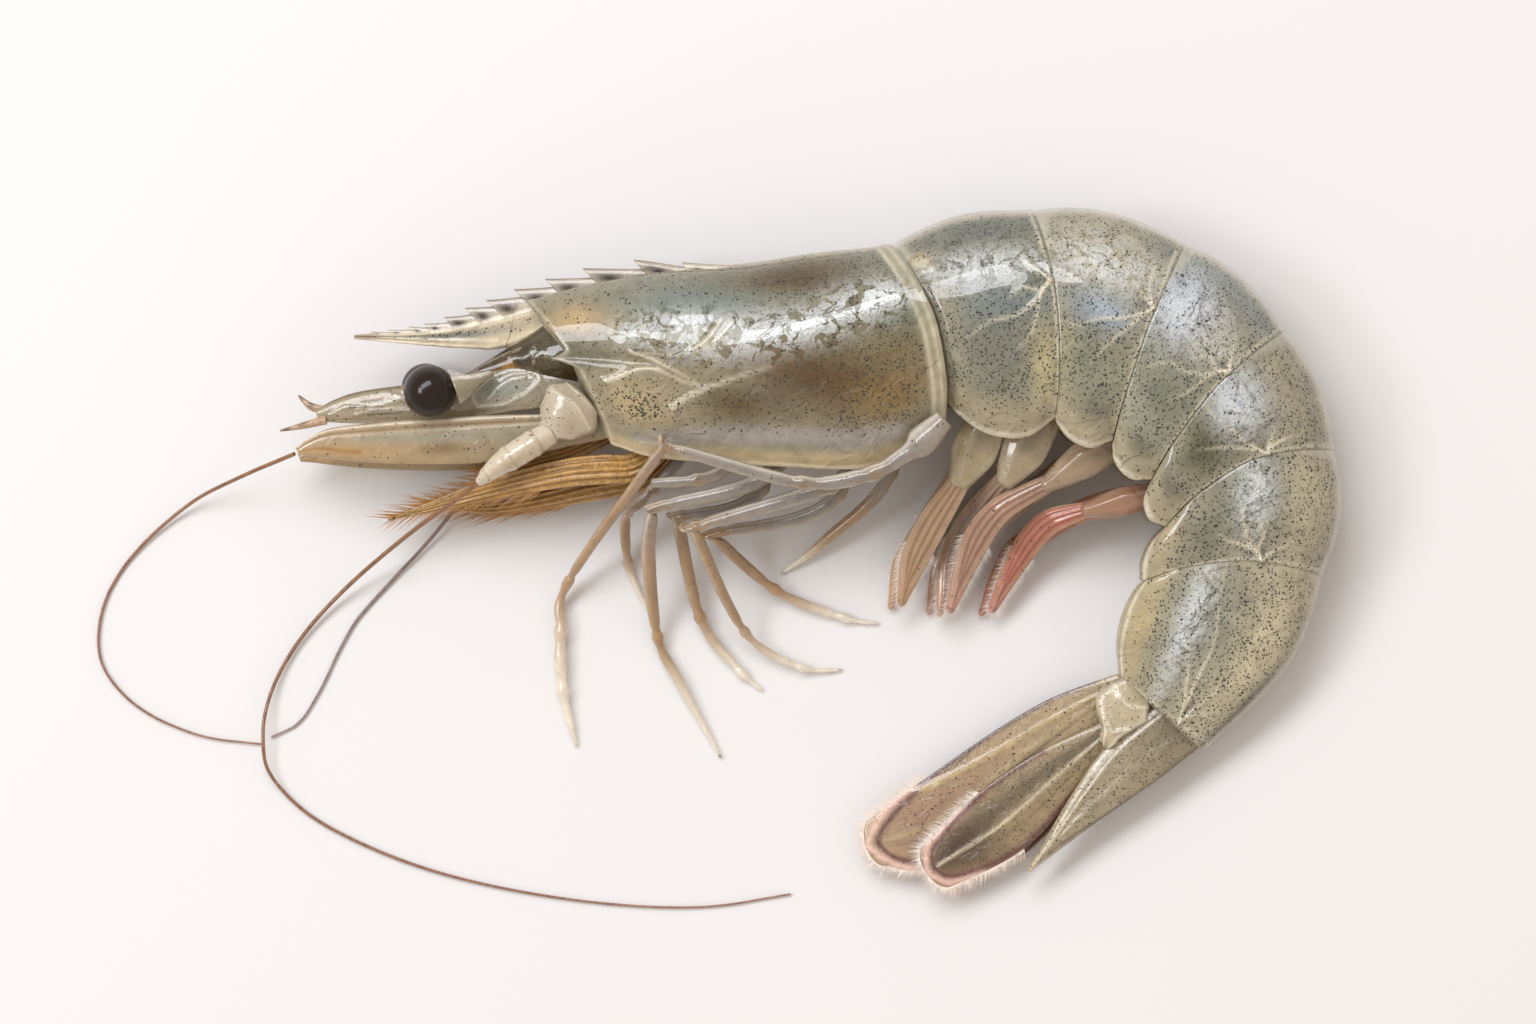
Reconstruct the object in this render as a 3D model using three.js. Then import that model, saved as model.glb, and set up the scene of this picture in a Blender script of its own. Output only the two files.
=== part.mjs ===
// A raw, whole shrimp that lies on its right side: head to the left, tail curled round below.
// Millimetres, +Z up. Outlines are drawn on the floor plane, x to the right and y towards the
// back of the curl, and heights are measured from the floor. The last lines move the animal so
// that the origin lies under the middle of its box.

import * as THREE from "three";

// ---- Driving dimensions ----------------------------------------------------------------

const GAP = 0.3; // free space between neighbouring pieces
const PRESS = 0.35; // how far the weight flattens the flank it lies on
const HALF_WIDTH = 8; // from the middle plane to a flank, where the body is widest
const MIDDLE = HALF_WIDTH - PRESS; // height of the middle plane there

const ARCH_STEPS = 4; // facets from the ridge of the back to the widest line, on each side
const WAIST = 0.5; // where the widest line lies, as a share of a ring's depth
const LIMB_SIDES = 6;
const BLADE_THICKNESS = 0.6; // a leaf of the tail fan
const LEVEL_STEP = BLADE_THICKNESS + GAP; // from one leaf of the fan to the next

const EYE_RADIUS = 2.64;
const FLAGELLUM_RADIUS = 0.3;

// The seams between the rings of the tail, from the head shield backwards. `bow` is how far a
// seam is bent towards the tail halfway down.
const SEAMS = [
  { back: [17.75, 31.6], belly: [23.5, 15.2], bow: 2.0, halfWidth: 7.7 },
  { back: [31.45, 35.0], belly: [33.8, 14.2], bow: 1.3, halfWidth: 8.0 },
  { back: [46.65, 31.9], belly: [39.6, 12.0], bow: -0.6, halfWidth: 7.8 },
  { back: [56.85, 23.3], belly: [43.6, 8.2], bow: -1.4, halfWidth: 7.3 },
  { back: [62.0, 11.4], belly: [45.1, 3.5], bow: -2.5, halfWidth: 6.6 },
  { back: [61.05, -1.2], belly: [43.0, -1.9], bow: -1.8, halfWidth: 5.8 },
  { back: [49.85, -18.4], belly: [40.9, -11.4], bow: 0, halfWidth: 3.6 },
];
// Halfway points of the back between those seams, which make each ring bulge a little.
const BACK_BULGES = [
  [24.2, 34.0], [38.7, 34.6], [52.3, 28.2], [60.1, 17.6], [62.4, 5.1], [57.5, -10.0],
];
// How far the lower edge of each ring hangs below the line between its two seams.
const LOBES = [2.0, 1.1, 1.1, 1.1, 0.4, 0.6];
const SEGMENT_STEPS = 4;
const PLEURA_RECESS = 0.18; // depth of the groove between the two side plates, of a ring's depth

// ---- Colours and finishes --------------------------------------------------------------

const FINISHES = {
  shell: { color: 0x8b8a74, roughness: 0.3 },
  glassy: { color: 0xc9c3b0, roughness: 0.25 },
  amber: { color: 0xb98b52, roughness: 0.4 },
  tail: { color: 0x8c7f6c, roughness: 0.35 },
  eye: { color: 0x1c1512, roughness: 0.1 },
  feeler: { color: 0xc08350, roughness: 0.4 },
};

// ---- Points, lines and rings -----------------------------------------------------------

const UP = new THREE.Vector3(0, 0, 1);
const point = (x, y, z = 0) => new THREE.Vector3(x, y, z);
const points = (rows) => rows.map((row) => point(...row));
const blend = (a, b, share) => a + (b - a) * share;

// A smooth height over x through a row of [x, value] pairs, level with its ends beyond them.
function smoothLine(rows) {
  const slopeAt = (k) => {
    const before = rows[Math.max(k - 1, 0)];
    const after = rows[Math.min(k + 1, rows.length - 1)];
    return (after[1] - before[1]) / (after[0] - before[0]);
  };
  return (x) => {
    if (x <= rows[0][0]) return rows[0][1];
    if (x >= rows.at(-1)[0]) return rows.at(-1)[1];
    const k = rows.findIndex((row) => row[0] > x) - 1;
    const [[x0, y0], [x1, y1]] = [rows[k], rows[k + 1]];
    const span = x1 - x0;
    const t = (x - x0) / span;
    const ease = t * t * (3 - 2 * t);
    const bend = t * (1 - t) * span;
    return blend(y0, y1, ease) + bend * ((1 - t) * slopeAt(k) - t * slopeAt(k + 1));
  };
}

// Skins a row of rings, all with the same number of points, and closes each end on its middle.
function loft(rings) {
  const sides = rings[0].length;
  const middleOf = (ring) => ring.reduce((sum, p) => sum.add(p), point(0, 0)).divideScalar(sides);
  const all = [middleOf(rings[0]), ...rings.flat(), middleOf(rings.at(-1))];
  const last = all.length - 1;
  const index = [];
  for (let k = 0; k < sides; k += 1) {
    const next = (k + 1) % sides;
    index.push(0, 1 + next, 1 + k);
    index.push(last, last - sides + k, last - sides + next);
    for (let start = 1; start + sides < last; start += sides) {
      index.push(start + k, start + next, start + sides + next);
      index.push(start + k, start + sides + next, start + sides + k);
    }
  }
  const geometry = new THREE.BufferGeometry().setFromPoints(all);
  geometry.setIndex(volumeOf(all, index) > 0 ? index : index.reverse());
  geometry.computeVertexNormals();
  return geometry;
}

// Six times the volume inside a closed skin: negative where its faces point inwards.
function volumeOf(corners, index) {
  let sum = 0;
  for (let k = 0; k < index.length; k += 3) {
    const [a, b, c] = [corners[index[k]], corners[index[k + 1]], corners[index[k + 2]]];
    sum += a.dot(b.clone().cross(c));
  }
  return sum;
}

// One side of a body ring, as [depth, width] in shares, from the ridge down to the groove
// between the lower edges. `foot` is the pair that stands beside the ridge.
function sideOf({ foot, edge, recess }) {
  const side = [foot];
  for (let step = 1; step <= ARCH_STEPS; step += 1) {
    const angle = (step / ARCH_STEPS) * (Math.PI / 2);
    side.push([WAIST * (1 - Math.cos(angle)), Math.sin(angle)]);
  }
  const edgeLine = 1 - recess;
  side.push([blend(WAIST, 1, 0.6), 0.96], [1, edge], [blend(1, edgeLine, 0.7), edge * 0.6]);
  return { side, keel: [edgeLine, 0] };
}

const ROUND_BACK = [0.01, 0.19]; // the foot of a back without a crest

// A ring round the body. Its line runs from `back` to `belly`, bowed towards the tail, and the
// ridge may stand above that line as a tooth does. Nothing reaches below the floor.
function bodyRing({
  back, belly, halfWidth, middle,
  bow = 0, foot = ROUND_BACK, edge = 0.66, recess = 0, tooth = 0, shift = 0,
}) {
  const upward = point(back[0] - belly[0], back[1] - belly[1]);
  const depth = upward.length();
  upward.normalize();
  const rearward = point(upward.y, -upward.x);
  const place = ([down, width], sign) => {
    const p = point(...back).addScaledVector(upward, -down * depth);
    p.addScaledVector(rearward, 4 * bow * down * (1 - down) + shift);
    p.z = Math.max(0, middle + sign * width * halfWidth);
    return p;
  };
  const { side, keel } = sideOf({ foot, edge, recess });
  const ridge = place([0, 0], 1);
  const lean = ridge.clone().sub(place([side[0][0], 0], 1)).normalize();
  ridge.addScaledVector(lean, tooth);
  const near = side.map((pair) => place(pair, 1));
  const far = side.map((pair) => place(pair, -1)).reverse();
  return [ridge, ...near, place(keel, 1), ...far];
}

// A limb along a row of [x, y, z] joints with a half-height at each: round, or flattened in
// height where `flat` is under 1. Its rings stand across the way it runs.
function limb(rows, radii, { flat = 1, sides = LIMB_SIDES } = {}) {
  const path = points(rows);
  const rings = path.map((p, k) => {
    const ahead = path[Math.min(k + 1, path.length - 1)];
    const behind = path[Math.max(k - 1, 0)];
    const along = ahead.clone().sub(p).normalize().add(p.clone().sub(behind).normalize()).normalize();
    const across = UP.clone().cross(along).normalize();
    const over = along.clone().cross(across);
    return Array.from({ length: sides }, (_, n) => {
      const angle = ((n + 0.5) / sides) * 2 * Math.PI;
      const corner = p.clone().addScaledVector(across, Math.cos(angle) * radii[k]);
      corner.addScaledVector(over, Math.sin(angle) * radii[k] * flat);
      corner.z = Math.max(0, corner.z);
      return corner;
    });
  });
  return loft(rings);
}

// A limb whose joints are first run through by a smooth curve, with `steps` rings more.
function softLimb(rows, radii, steps, options) {
  const curve = new THREE.CatmullRomCurve3(points(rows), false, "centripetal");
  const radiusAt = smoothLine(radii.map((radius, k) => [k / (radii.length - 1), radius]));
  const shares = Array.from({ length: steps + 1 }, (_, k) => k / steps);
  const places = shares.map((share) => curve.getPoint(share).toArray());
  return limb(places, shares.map(radiusAt), options);
}

// The section of a leaf, as shares of its half-breadth and half-thickness.
const LENS = [[1, 0], [0.6, 0.8], [0, 1], [-0.6, 0.8], [-1, 0], [-0.6, -0.8], [0, -1], [0.6, -0.8]];

// A thin leaf: broad across the floor plane, `thickness` high, with `steps` rings more.
function leaf(rows, halfBreadths, thickness, steps = 7) {
  const curve = new THREE.CatmullRomCurve3(points(rows), false, "centripetal");
  const breadthAt = smoothLine(halfBreadths.map((half, k) => [k / (halfBreadths.length - 1), half]));
  const rings = [];
  for (let k = 0; k <= steps; k += 1) {
    const share = k / steps;
    const p = curve.getPoint(share);
    const along = curve.getTangent(share);
    const across = point(-along.y, along.x).normalize();
    const half = breadthAt(share);
    rings.push(LENS.map(([wide, high]) => {
      const corner = p.clone().addScaledVector(across, wide * half);
      corner.z = Math.max(0, p.z + (high * thickness) / 2);
      return corner;
    }));
  }
  return loft(rings);
}

// ---- The animal ------------------------------------------------------------------------

const shrimp = new THREE.Group();

function add(name, geometry, finish) {
  const material = new THREE.MeshStandardMaterial({ ...FINISHES[finish], metalness: 0 });
  const mesh = new THREE.Mesh(geometry, material);
  mesh.name = name;
  shrimp.add(mesh);
}

// -- Head shield, with the rostrum as its forward blade --

// The line from which the teeth of the crest rise, and the lower edge of the blade.
const crestLine = smoothLine([
  [-36.15, 22.6], [-28.35, 23.4], [-23.35, 24.9], [-15.35, 27.5],
  [-7.35, 29.1], [2.65, 29.7], [10, 30.8], [17.3, 31.5],
]);
const bladeEdge = smoothLine([[-36.15, 22.4], [-28.35, 22.0], [-20.35, 21.9], [-18, 22.6]]);
const shieldEdge = smoothLine([
  [-11.9, 12.5], [-7.3, 10.6], [-1.3, 9.9], [8.7, 9.3], [14.7, 9.2], [19.1, 10.6], [22.6, 13.6],
]);
const bladeHalfWidth = smoothLine([[-36.15, 0.2], [-30, 0.45], [-21, 0.85]]);
const shieldHalfWidth = smoothLine([
  [-21, 2.6], [-20.2, 4.6], [-17, 5.9], [-10, 7.0], [-2, 7.7], [6, HALF_WIDTH], [17.3, 7.8],
]);
const headMiddle = smoothLine([[-42, 6.4], [-20, 7.2], [0, MIDDLE]]);

// Each tooth: where its notch lies on the crest line, and how far it stands up.
const TEETH = [
  [-34.2, 0.22], [-32.4, 0.3], [-30.1, 0.45], [-28.4, 0.55], [-26.2, 0.75], [-23.7, 1.0],
  [-21.35, 1.15], [-18.45, 1.2], [-15.35, 1.25], [-11.55, 1.35], [-6.45, 1.3], [-2.6, 0.6],
];
const TOOTH_STEP = 0.2; // from the notch in front of a tooth to the tooth's own ring
const ORBIT = -21; // where the shield opens behind the blade, on the crest line
const SHIELD_REAR = 17.3;
const BLADE_SLANT = 0.85; // how far a ring of the blade leans forward, of its depth

function crestStations() {
  const stations = [[-36.0, 0]];
  for (const [notch, height] of TEETH) {
    stations.push([notch, 0], [notch + TOOTH_STEP, height]);
  }
  return [...stations, [1.5, 0], [5.5, 0], [9.5, 0], [13.5, 0], [SHIELD_REAR, 0]];
}

function bladeRing(x, tooth) {
  const y = crestLine(x);
  const rearX = x + BLADE_SLANT * (y - bladeEdge(x));
  return bodyRing({
    back: [x, y], belly: [rearX, bladeEdge(rearX)], middle: headMiddle(x),
    halfWidth: bladeHalfWidth(x), tooth, foot: [0.12, 0.45], edge: 0.4,
  });
}

function shieldRing(x, tooth) {
  const share = (x - ORBIT) / (SHIELD_REAR - ORBIT);
  const rearX = blend(-11.9, 22.6, share);
  return bodyRing({
    back: [x, crestLine(x)], belly: [rearX, shieldEdge(rearX)], middle: headMiddle(x),
    halfWidth: shieldHalfWidth(x), bow: blend(1.0, 2.0, share), tooth,
    foot: [0.05, blend(0.12, 0.3, Math.max(0, share))], edge: 0.64, recess: 0.28,
  });
}

const headRing = ([x, tooth]) => (x < ORBIT ? bladeRing(x, tooth) : shieldRing(x, tooth));
add("carapace", loft(crestStations().map(headRing)), "shell");

// -- The six rings of the tail --

const backRow = SEAMS.flatMap((seam, k) => [seam.back, BACK_BULGES[k]]).slice(0, -1);
const backCurve = new THREE.CatmullRomCurve3(points(backRow), false, "centripetal");

function tailRing(k, share) {
  const [front, rear] = [SEAMS[k], SEAMS[k + 1]];
  const back = backCurve.getPoint((k + share) / BACK_BULGES.length);
  const hang = LOBES[k] * Math.sin(Math.PI * share) ** 0.6;
  const belly = point(...front.belly).lerp(point(...rear.belly), share);
  belly.addScaledVector(belly.clone().sub(back).normalize(), hang);
  const halfWidth = blend(front.halfWidth, rear.halfWidth, share);
  const inward = { 0: GAP / 2, 1: -GAP / 2 }[share] ?? 0;
  return bodyRing({
    back: [back.x, back.y], belly: [belly.x, belly.y], halfWidth,
    middle: Math.min(MIDDLE, halfWidth - PRESS), bow: blend(front.bow, rear.bow, share),
    recess: k < 5 ? PLEURA_RECESS : 0.05, shift: inward,
  });
}

for (let k = 0; k < LOBES.length; k += 1) {
  const steps = Array.from({ length: SEGMENT_STEPS + 1 }, (_, step) => step);
  add(`abdomen_${k + 1}`, loft(steps.map((step) => tailRing(k, step / SEGMENT_STEPS))), "shell");
}

// -- Tail fan: telson on top, then the two leaves of each side, each level a step lower --

const fanLevel = (step) => BLADE_THICKNESS / 2 + step * LEVEL_STEP;

add("telson", leaf(
  [[46.3, -16.8, 4.4], [41.5, -20.6, 4.3], [36.5, -25.7, 3.9], [31.7, -31.1, 3.4]],
  [2.2, 2.2, 1.4, 0.25], 1.3,
), "tail");

const EXOPOD = {
  path: [[39.6, -13.6], [35.2, -16.3], [30.5, -19.7], [25.0, -24.1], [20.8, -27.0], [16.7, -28.3]],
  half: [1.8, 2.8, 3.4, 3.9, 3.4, 1.2],
};
const ENDOPOD = {
  path: [[38.6, -18.0], [33.8, -21.9], [28.6, -26.4], [22.6, -30.6]],
  half: [1.5, 2.9, 3.5, 1.2],
};
// For each side: the levels its two leaves lie on, how far it is tucked in behind the other
// side, and the height and thickness of the base that carries its leaves.
const FAN_SIDES = {
  near: { exopodLevel: 2, endopodLevel: 3, tuck: 0, baseHeight: 4.3, baseThickness: 2.2 },
  far: { exopodLevel: 0, endopodLevel: 1, tuck: 0.5, baseHeight: 1.25, baseThickness: 0.9 },
};

for (const [side, fan] of Object.entries(FAN_SIDES)) {
  const lay = (path, level) => path.map(([x, y]) => [x + fan.tuck, y - fan.tuck * 0.6, fanLevel(level)]);
  const exopod = leaf(lay(EXOPOD.path, fan.exopodLevel), EXOPOD.half, BLADE_THICKNESS, 9);
  add(`uropod_exopod_${side}`, exopod, "tail");
  const endopod = leaf(lay(ENDOPOD.path, fan.endopodLevel), ENDOPOD.half, BLADE_THICKNESS, 9);
  add(`uropod_endopod_${side}`, endopod, "tail");
  const basePath = [[42.3, -13.1], [41.1, -14.9], [40.3, -16.6]].map(([x, y]) => [x, y, fan.baseHeight]);
  add(`uropod_base_${side}`, leaf(basePath, [1.4, 1.9, 1.2], fan.baseThickness, 4), "tail");
}

// -- Head: brow, eyes, stalks, feeler bases and scales --

// The height of something that stands `out` from the head's middle plane on the near side
// (or, with a minus, on the far side).
const beside = (x, out) => headMiddle(x) + out;

add("brow", softLimb(
  [[-17.3, 20.4, 7.2], [-19.4, 19.9, 7.2], [-23.6, 18.8, 7.1]], [1.5, 1.0, 0.3], 4,
  { flat: 1.8, sides: 8 },
), "shell");

const SIDES = { near: 1, far: -1 };

for (const [side, sign] of Object.entries(SIDES)) {
  const eyeRadius = side === "near" ? EYE_RADIUS : EYE_RADIUS - 0.2;
  const eyeOut = sign * 4.4;
  const eyeAt = side === "near" ? [-28.25, 16.9] : [-28.95, 17.4];
  const eye = new THREE.SphereGeometry(eyeRadius, 14, 9);
  eye.translate(eyeAt[0], eyeAt[1], beside(eyeAt[0], eyeOut));
  add(`eye_${side}`, eye, "eye");

  add(`eyestalk_${side}`, softLimb([
    [eyeAt[0] + eyeRadius + GAP, eyeAt[1] + 0.3, beside(-25, sign * 4.4)],
    [-24.3, 17.6, beside(-24, sign * 4.2)],
    [-22.4, 18.5, beside(-22, sign * 2.9)],
  ], [1.5, 1.3, 0.8], 3, { sides: 8 }), "glassy");

  add(`antennule_${side}`, softLimb([
    [-16.9, 17.2, beside(-17, sign * 1.3)], [-20.0, 17.1, beside(-20, sign * 1.2)],
    [-25.0, 16.2, beside(-25, sign * 0.95)], [-31.0, 15.7, beside(-31, sign * 0.95)],
    [-36.5, 15.2, beside(-36, sign * 0.95)], [-39.3, 14.6, beside(-39, sign * 0.9)],
  ], [1.6, 1.8, 1.8, 1.7, 1.4, 0.7], 8, { flat: 0.46, sides: 8 }), "glassy");

  add(`antenna_base_${side}`, softLimb([
    [-13.2, 16.1, beside(-13, sign * 3.9)], [-14.3, 15.0, beside(-14, sign * 4.0)],
    [-15.4, 13.9, beside(-15, sign * 4.1)], [-16.2, 13.1, beside(-16, sign * 4.1)],
  ], [1.2, 2.2, 2.1, 1.2], 4, { sides: 8 }), "glassy");

  add(`antenna_peduncle_${side}`, softLimb([
    [-17.0, 12.3, beside(-17, sign * 4.4)], [-19.4, 10.8, beside(-19, sign * 4.9)],
    [-21.6, 9.4, beside(-21, sign * 4.6)], [-23.0, 8.2, beside(-23, sign * 4.0)],
  ], [1.3, 1.4, 1.1, 0.6], 5), "glassy");

  const drop = side === "near" ? 0 : 0.6;
  add(`antennal_scale_${side}`, leaf([
    [-17.8, 12.7 - drop, beside(-18, sign * 2.4)], [-24.0, 12.1 - drop, beside(-24, sign * 2.6)],
    [-33.0, 11.8 - drop, beside(-33, sign * 2.6)], [-39.0, 11.6 - drop, beside(-39, sign * 2.2)],
    [-41.4, 10.9 - drop, beside(-41, sign * 2.0)],
  ], [1.6, 2.0, 1.8, 1.3, 0.4], 0.8), "glassy");
}

add("antennule_tip_upper", softLimb(
  [[-39.4, 15.2, 6.6], [-40.4, 15.5, 6.5], [-41.4, 16.4, 6.4]], [0.45, 0.4, 0.15], 3,
), "amber");
add("antennule_tip_lower", softLimb(
  [[-39.6, 13.9, 7.6], [-41.2, 13.5, 7.5], [-43.0, 13.1, 7.3]], [0.45, 0.35, 0.15], 3,
), "amber");

// -- Feelers: they leave the head and come down to lie on the floor --

const FEELERS = {
  flagellum_near: [
    [-23.3, 7.9, 10.9], [-26.4, 5.6, 8.6], [-30.25, 2.9, 5.6], [-37.25, -3.0, 1.6],
    [-41.55, -7.8, 0.7], [-44.05, -12.0, 0.8], [-45.2, -15.6, 1.3], [-45.35, -18.2, 1.5],
    [-45.0, -20.8, 1.1], [-42.95, -23.7, 0.4], [-39.25, -26.6, 0.3], [-28.85, -31.1, 0.3],
    [-14.05, -34.2, 0.3], [-1.15, -34.9, 0.3], [7.75, -33.6, 0.3],
  ],
  flagellum_far: [
    [-23.4, 7.6, 2.6], [-25.55, 5.7, 1.8], [-28.85, 1.8, 0.8], [-33.05, -2.7, 0.3],
    [-36.45, -6.7, 0.3], [-39.85, -13.4, 0.3], [-41.9, -16.4, 0.3], [-44.6, -17.8, 0.3],
  ],
  flagellum_third: [
    [-41.9, 10.7, 8.0], [-47.95, 8.2, 4.0], [-52.75, 5.7, 1.3], [-58.85, 0.1, 0.3], [-61.6, -5.0, 0.3],
    [-61.7, -10.2, 0.3], [-58.35, -14.5, 0.3], [-51.85, -17.6, 0.3], [-45.6, -18.5, 0.3],
  ],
};
const FEELER_STEPS = { flagellum_near: 40, flagellum_far: 16, flagellum_third: 24 };

const FEELER_TAPER = [FLAGELLUM_RADIUS, FLAGELLUM_RADIUS, 0.25, 0.22];

for (const [name, route] of Object.entries(FEELERS)) {
  add(name, softLimb(route, FEELER_TAPER, FEELER_STEPS[name]), "feeler");
}

// -- Mouthparts, folded forward under the head --

add("maxilliped_near", softLimb([
  [-3.6, 13.2, 8.4], [-7.5, 9.6, 9.0], [-12.5, 9.2, 9.2],
  [-18.0, 8.3, 8.4], [-24.5, 6.6, 6.0], [-31.0, 4.6, 4.4],
], [0.8, 1.4, 1.5, 1.3, 0.9, 0.2], 9, { flat: 0.7 }), "amber");
add("maxilliped_far", softLimb([
  [-3.4, 12.6, 5.6], [-7.0, 8.6, 5.2], [-12.0, 7.6, 4.6],
  [-18.0, 6.2, 4.0], [-23.0, 5.4, 3.2], [-27.4, 5.6, 2.8],
], [0.8, 1.3, 1.5, 1.2, 0.8, 0.2], 9, { flat: 0.7 }), "amber");
add("mouthparts", softLimb([
  [-8.8, 13.9, 7.0], [-13.5, 11.3, 6.8], [-18.0, 10.0, 6.8], [-22.0, 8.9, 6.6],
], [0.9, 1.1, 0.9, 0.4], 5, { flat: 0.8 }), "amber");

// -- Walking legs --

// Each leg: its joints from the body outwards, and its half-thickness at each.
const LEGS = {
  leg_5_near: [
    [[22.4, 13.6, 15.0], [20.7, 11.9, 15.0], [19.2, 10.7, 14.9], [15.3, 8.6, 14.4],
      [8.3, 7.9, 14.2], [-4.4, 11.3, 14.6], [-5.2, 10.9, 14.2], [-14.5, -1.9, 2.4],
      [-15.4, -7.0, 1.2], [-15.2, -12.9, 0.9], [-13.95, -18.4, 0.4]],
    [1.2, 1.6, 0.9, 0.85, 0.7, 0.6, 0.6, 0.5, 0.65, 0.6, 0.2],
  ],
  leg_4_near: [
    [[17.6, 13.4, 9.4], [13.8, 9.0, 10.6], [10.0, 6.9, 11.0], [-1.9, 3.4, 10.4],
      [-1.7, 2.6, 9.8], [3.15, -7.2, 2.2], [8.65, -10.7, 0.9], [12.55, -11.0, 0.4]],
    [0.9, 0.9, 0.85, 0.7, 0.6, 0.5, 0.4, 0.15],
  ],
  leg_3_near: [
    [[9.4, 12.7, 9.8], [4.4, 8.0, 11.0], [-5.6, 5.4, 10.6], [-6.1, 4.6, 10.0],
      [-6.5, 0.1, 6.4], [-5.6, -7.9, 1.2], [-3.35, -12.4, 0.8], [0.45, -19.4, 0.4]],
    [0.9, 0.85, 0.7, 0.65, 0.75, 0.55, 0.5, 0.15],
  ],
  leg_2_near: [
    [[-5.9, 7.8, 11.4], [-1.8, 8.1, 11.6], [1.2, 9.3, 11.2], [2.6, 12.2, 9.4]],
    [0.5, 0.7, 0.8, 0.7],
  ],
  leg_5_far: [
    [[19.4, 14.4, 6.6], [17.25, 7.8, 4.6], [11.05, 1.9, 1.8], [7.15, -1.1, 0.4]],
    [0.8, 0.7, 0.55, 0.15],
  ],
  leg_4_far: [
    [[15.4, 13.4, 6.2], [11.4, 5.6, 6.0], [0.2, 2.8, 5.2], [0.5, 2.0, 4.6],
      [6.45, -3.1, 1.4], [12.95, -5.7, 0.6], [16.25, -6.3, 0.4]],
    [0.8, 0.8, 0.7, 0.6, 0.55, 0.45, 0.15],
  ],
  leg_3_far: [
    [[7.4, 13.5, 6.3], [4.0, 6.3, 6.2], [-3.6, 4.4, 5.6], [-3.5, 3.6, 5.0],
      [-1.3, -5.9, 1.2], [2.6, -11.1, 0.6], [4.65, -12.9, 0.4]],
    [0.8, 0.85, 0.75, 0.65, 0.6, 0.45, 0.15],
  ],
  leg_1_far: [
    [[-0.2, 13.4, 6.8], [-6.8, 6.4, 7.4], [-8.75, 4.3, 4.6], [-8.55, -0.5, 1.0], [-6.65, -5.1, 0.4]],
    [0.6, 0.6, 0.55, 0.5, 0.15],
  ],
};

for (const [name, [route, radii]] of Object.entries(LEGS)) {
  add(name, limb(route, radii), "glassy");
}

// -- Swimming legs: a broad base and a blade on each side --

const SWIMMERS = [
  {
    base: [[27.9, 15.2], [26.0, 10.9], [24.75, 8.2]], baseHalf: [1.8, 2.3, 1.3],
    blade: [[24.55, 7.8], [22.15, 4.1], [20.15, 0.1], [18.95, -3.9]], bladeHalf: [1.1, 1.5, 1.4, 0.5],
  },
  {
    base: [[33.2, 14.6], [30.85, 10.9], [29.35, 8.3]], baseHalf: [1.8, 2.3, 1.2],
    blade: [[29.1, 7.95], [26.15, 4.1], [24.15, 0.1], [22.85, -4.4]], bladeHalf: [1.1, 1.6, 1.5, 0.5],
  },
  {
    base: [[41.6, 12.2], [37.4, 10.3], [33.75, 7.9]], baseHalf: [1.0, 1.9, 1.0],
    blade: [[33.4, 7.7], [28.65, 5.1], [26.15, 1.6], [23.85, -4.6]], bladeHalf: [0.9, 1.3, 1.4, 0.5],
  },
  {
    base: [[45.2, 7.1], [41.2, 6.0], [37.75, 5.2]], baseHalf: [0.8, 1.5, 0.9],
    blade: [[37.35, 5.1], [33.65, 3.9], [31.15, 1.1], [28.15, -4.6]], bladeHalf: [0.8, 1.3, 1.3, 0.5],
  },
];
// Heights of each swimming leg along its base and blade, near side and far side.
const SWIMMER_HEIGHTS = [
  { base: [9.8, 9.6, 9.0], blade: [9.0, 7.0, 5.0, 3.4], far: [5.4, 4.8, 3.6, 1.6, 0.7] },
  { base: [9.6, 9.4, 8.8], blade: [8.2, 4.8, 3.2, 2.8], far: [5.2, 4.8, 3.2, 0.8, 0.45] },
  { base: [9.0, 9.0, 8.4], blade: [8.4, 8.0, 5.4, 4.1], far: [5.6, 5.0, 4.4, 2.1, 1.6] },
  { base: [8.0, 8.2, 7.8], blade: [7.8, 6.4, 3.8, 2.2], far: [5.2, 4.8, 3.8, 1.6, 0.7] },
];

SWIMMERS.forEach(({ base, baseHalf, blade, bladeHalf }, k) => {
  const heights = SWIMMER_HEIGHTS[k];
  const raise = (rows, levels) => rows.map(([x, y], n) => [x, y, levels[n]]);
  const farRoute = [base[0], base[1], blade[0], blade[2], blade[3]].map(([x, y], n) => {
    const aside = n * 0.25;
    return [x - aside, y - aside / 3];
  });
  const name = `pleopod_${k + 1}`;
  add(`${name}_base_near`, leaf(raise(base, heights.base), baseHalf, 1.8, 4), "glassy");
  add(`${name}_blade_near`, leaf(raise(blade, heights.blade), bladeHalf, 0.8, 6), "glassy");
  add(`${name}_far`, leaf(raise(farRoute, heights.far), [0.7, 1.5, 1.2, 1.3, 0.4], 0.8, 8), "glassy");
});

// ---- Origin under the middle of the box ------------------------------------------------

const box = new THREE.Box3().setFromObject(shrimp, true);
const middle = box.getCenter(point(0, 0));
shrimp.position.set(-middle.x, -middle.y, -box.min.z);

export default shrimp;
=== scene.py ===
# %% [markdown]
# # A raw shrimp, finished piece by piece
# The construction of the animal is already there: one plain solid for each plate, leg and feeler,
# at its real size. This lesson gives every one of them its fine form and its wet finish.
# Everything is in metres, in the frame of those solids, with +Z away from the table.

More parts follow.
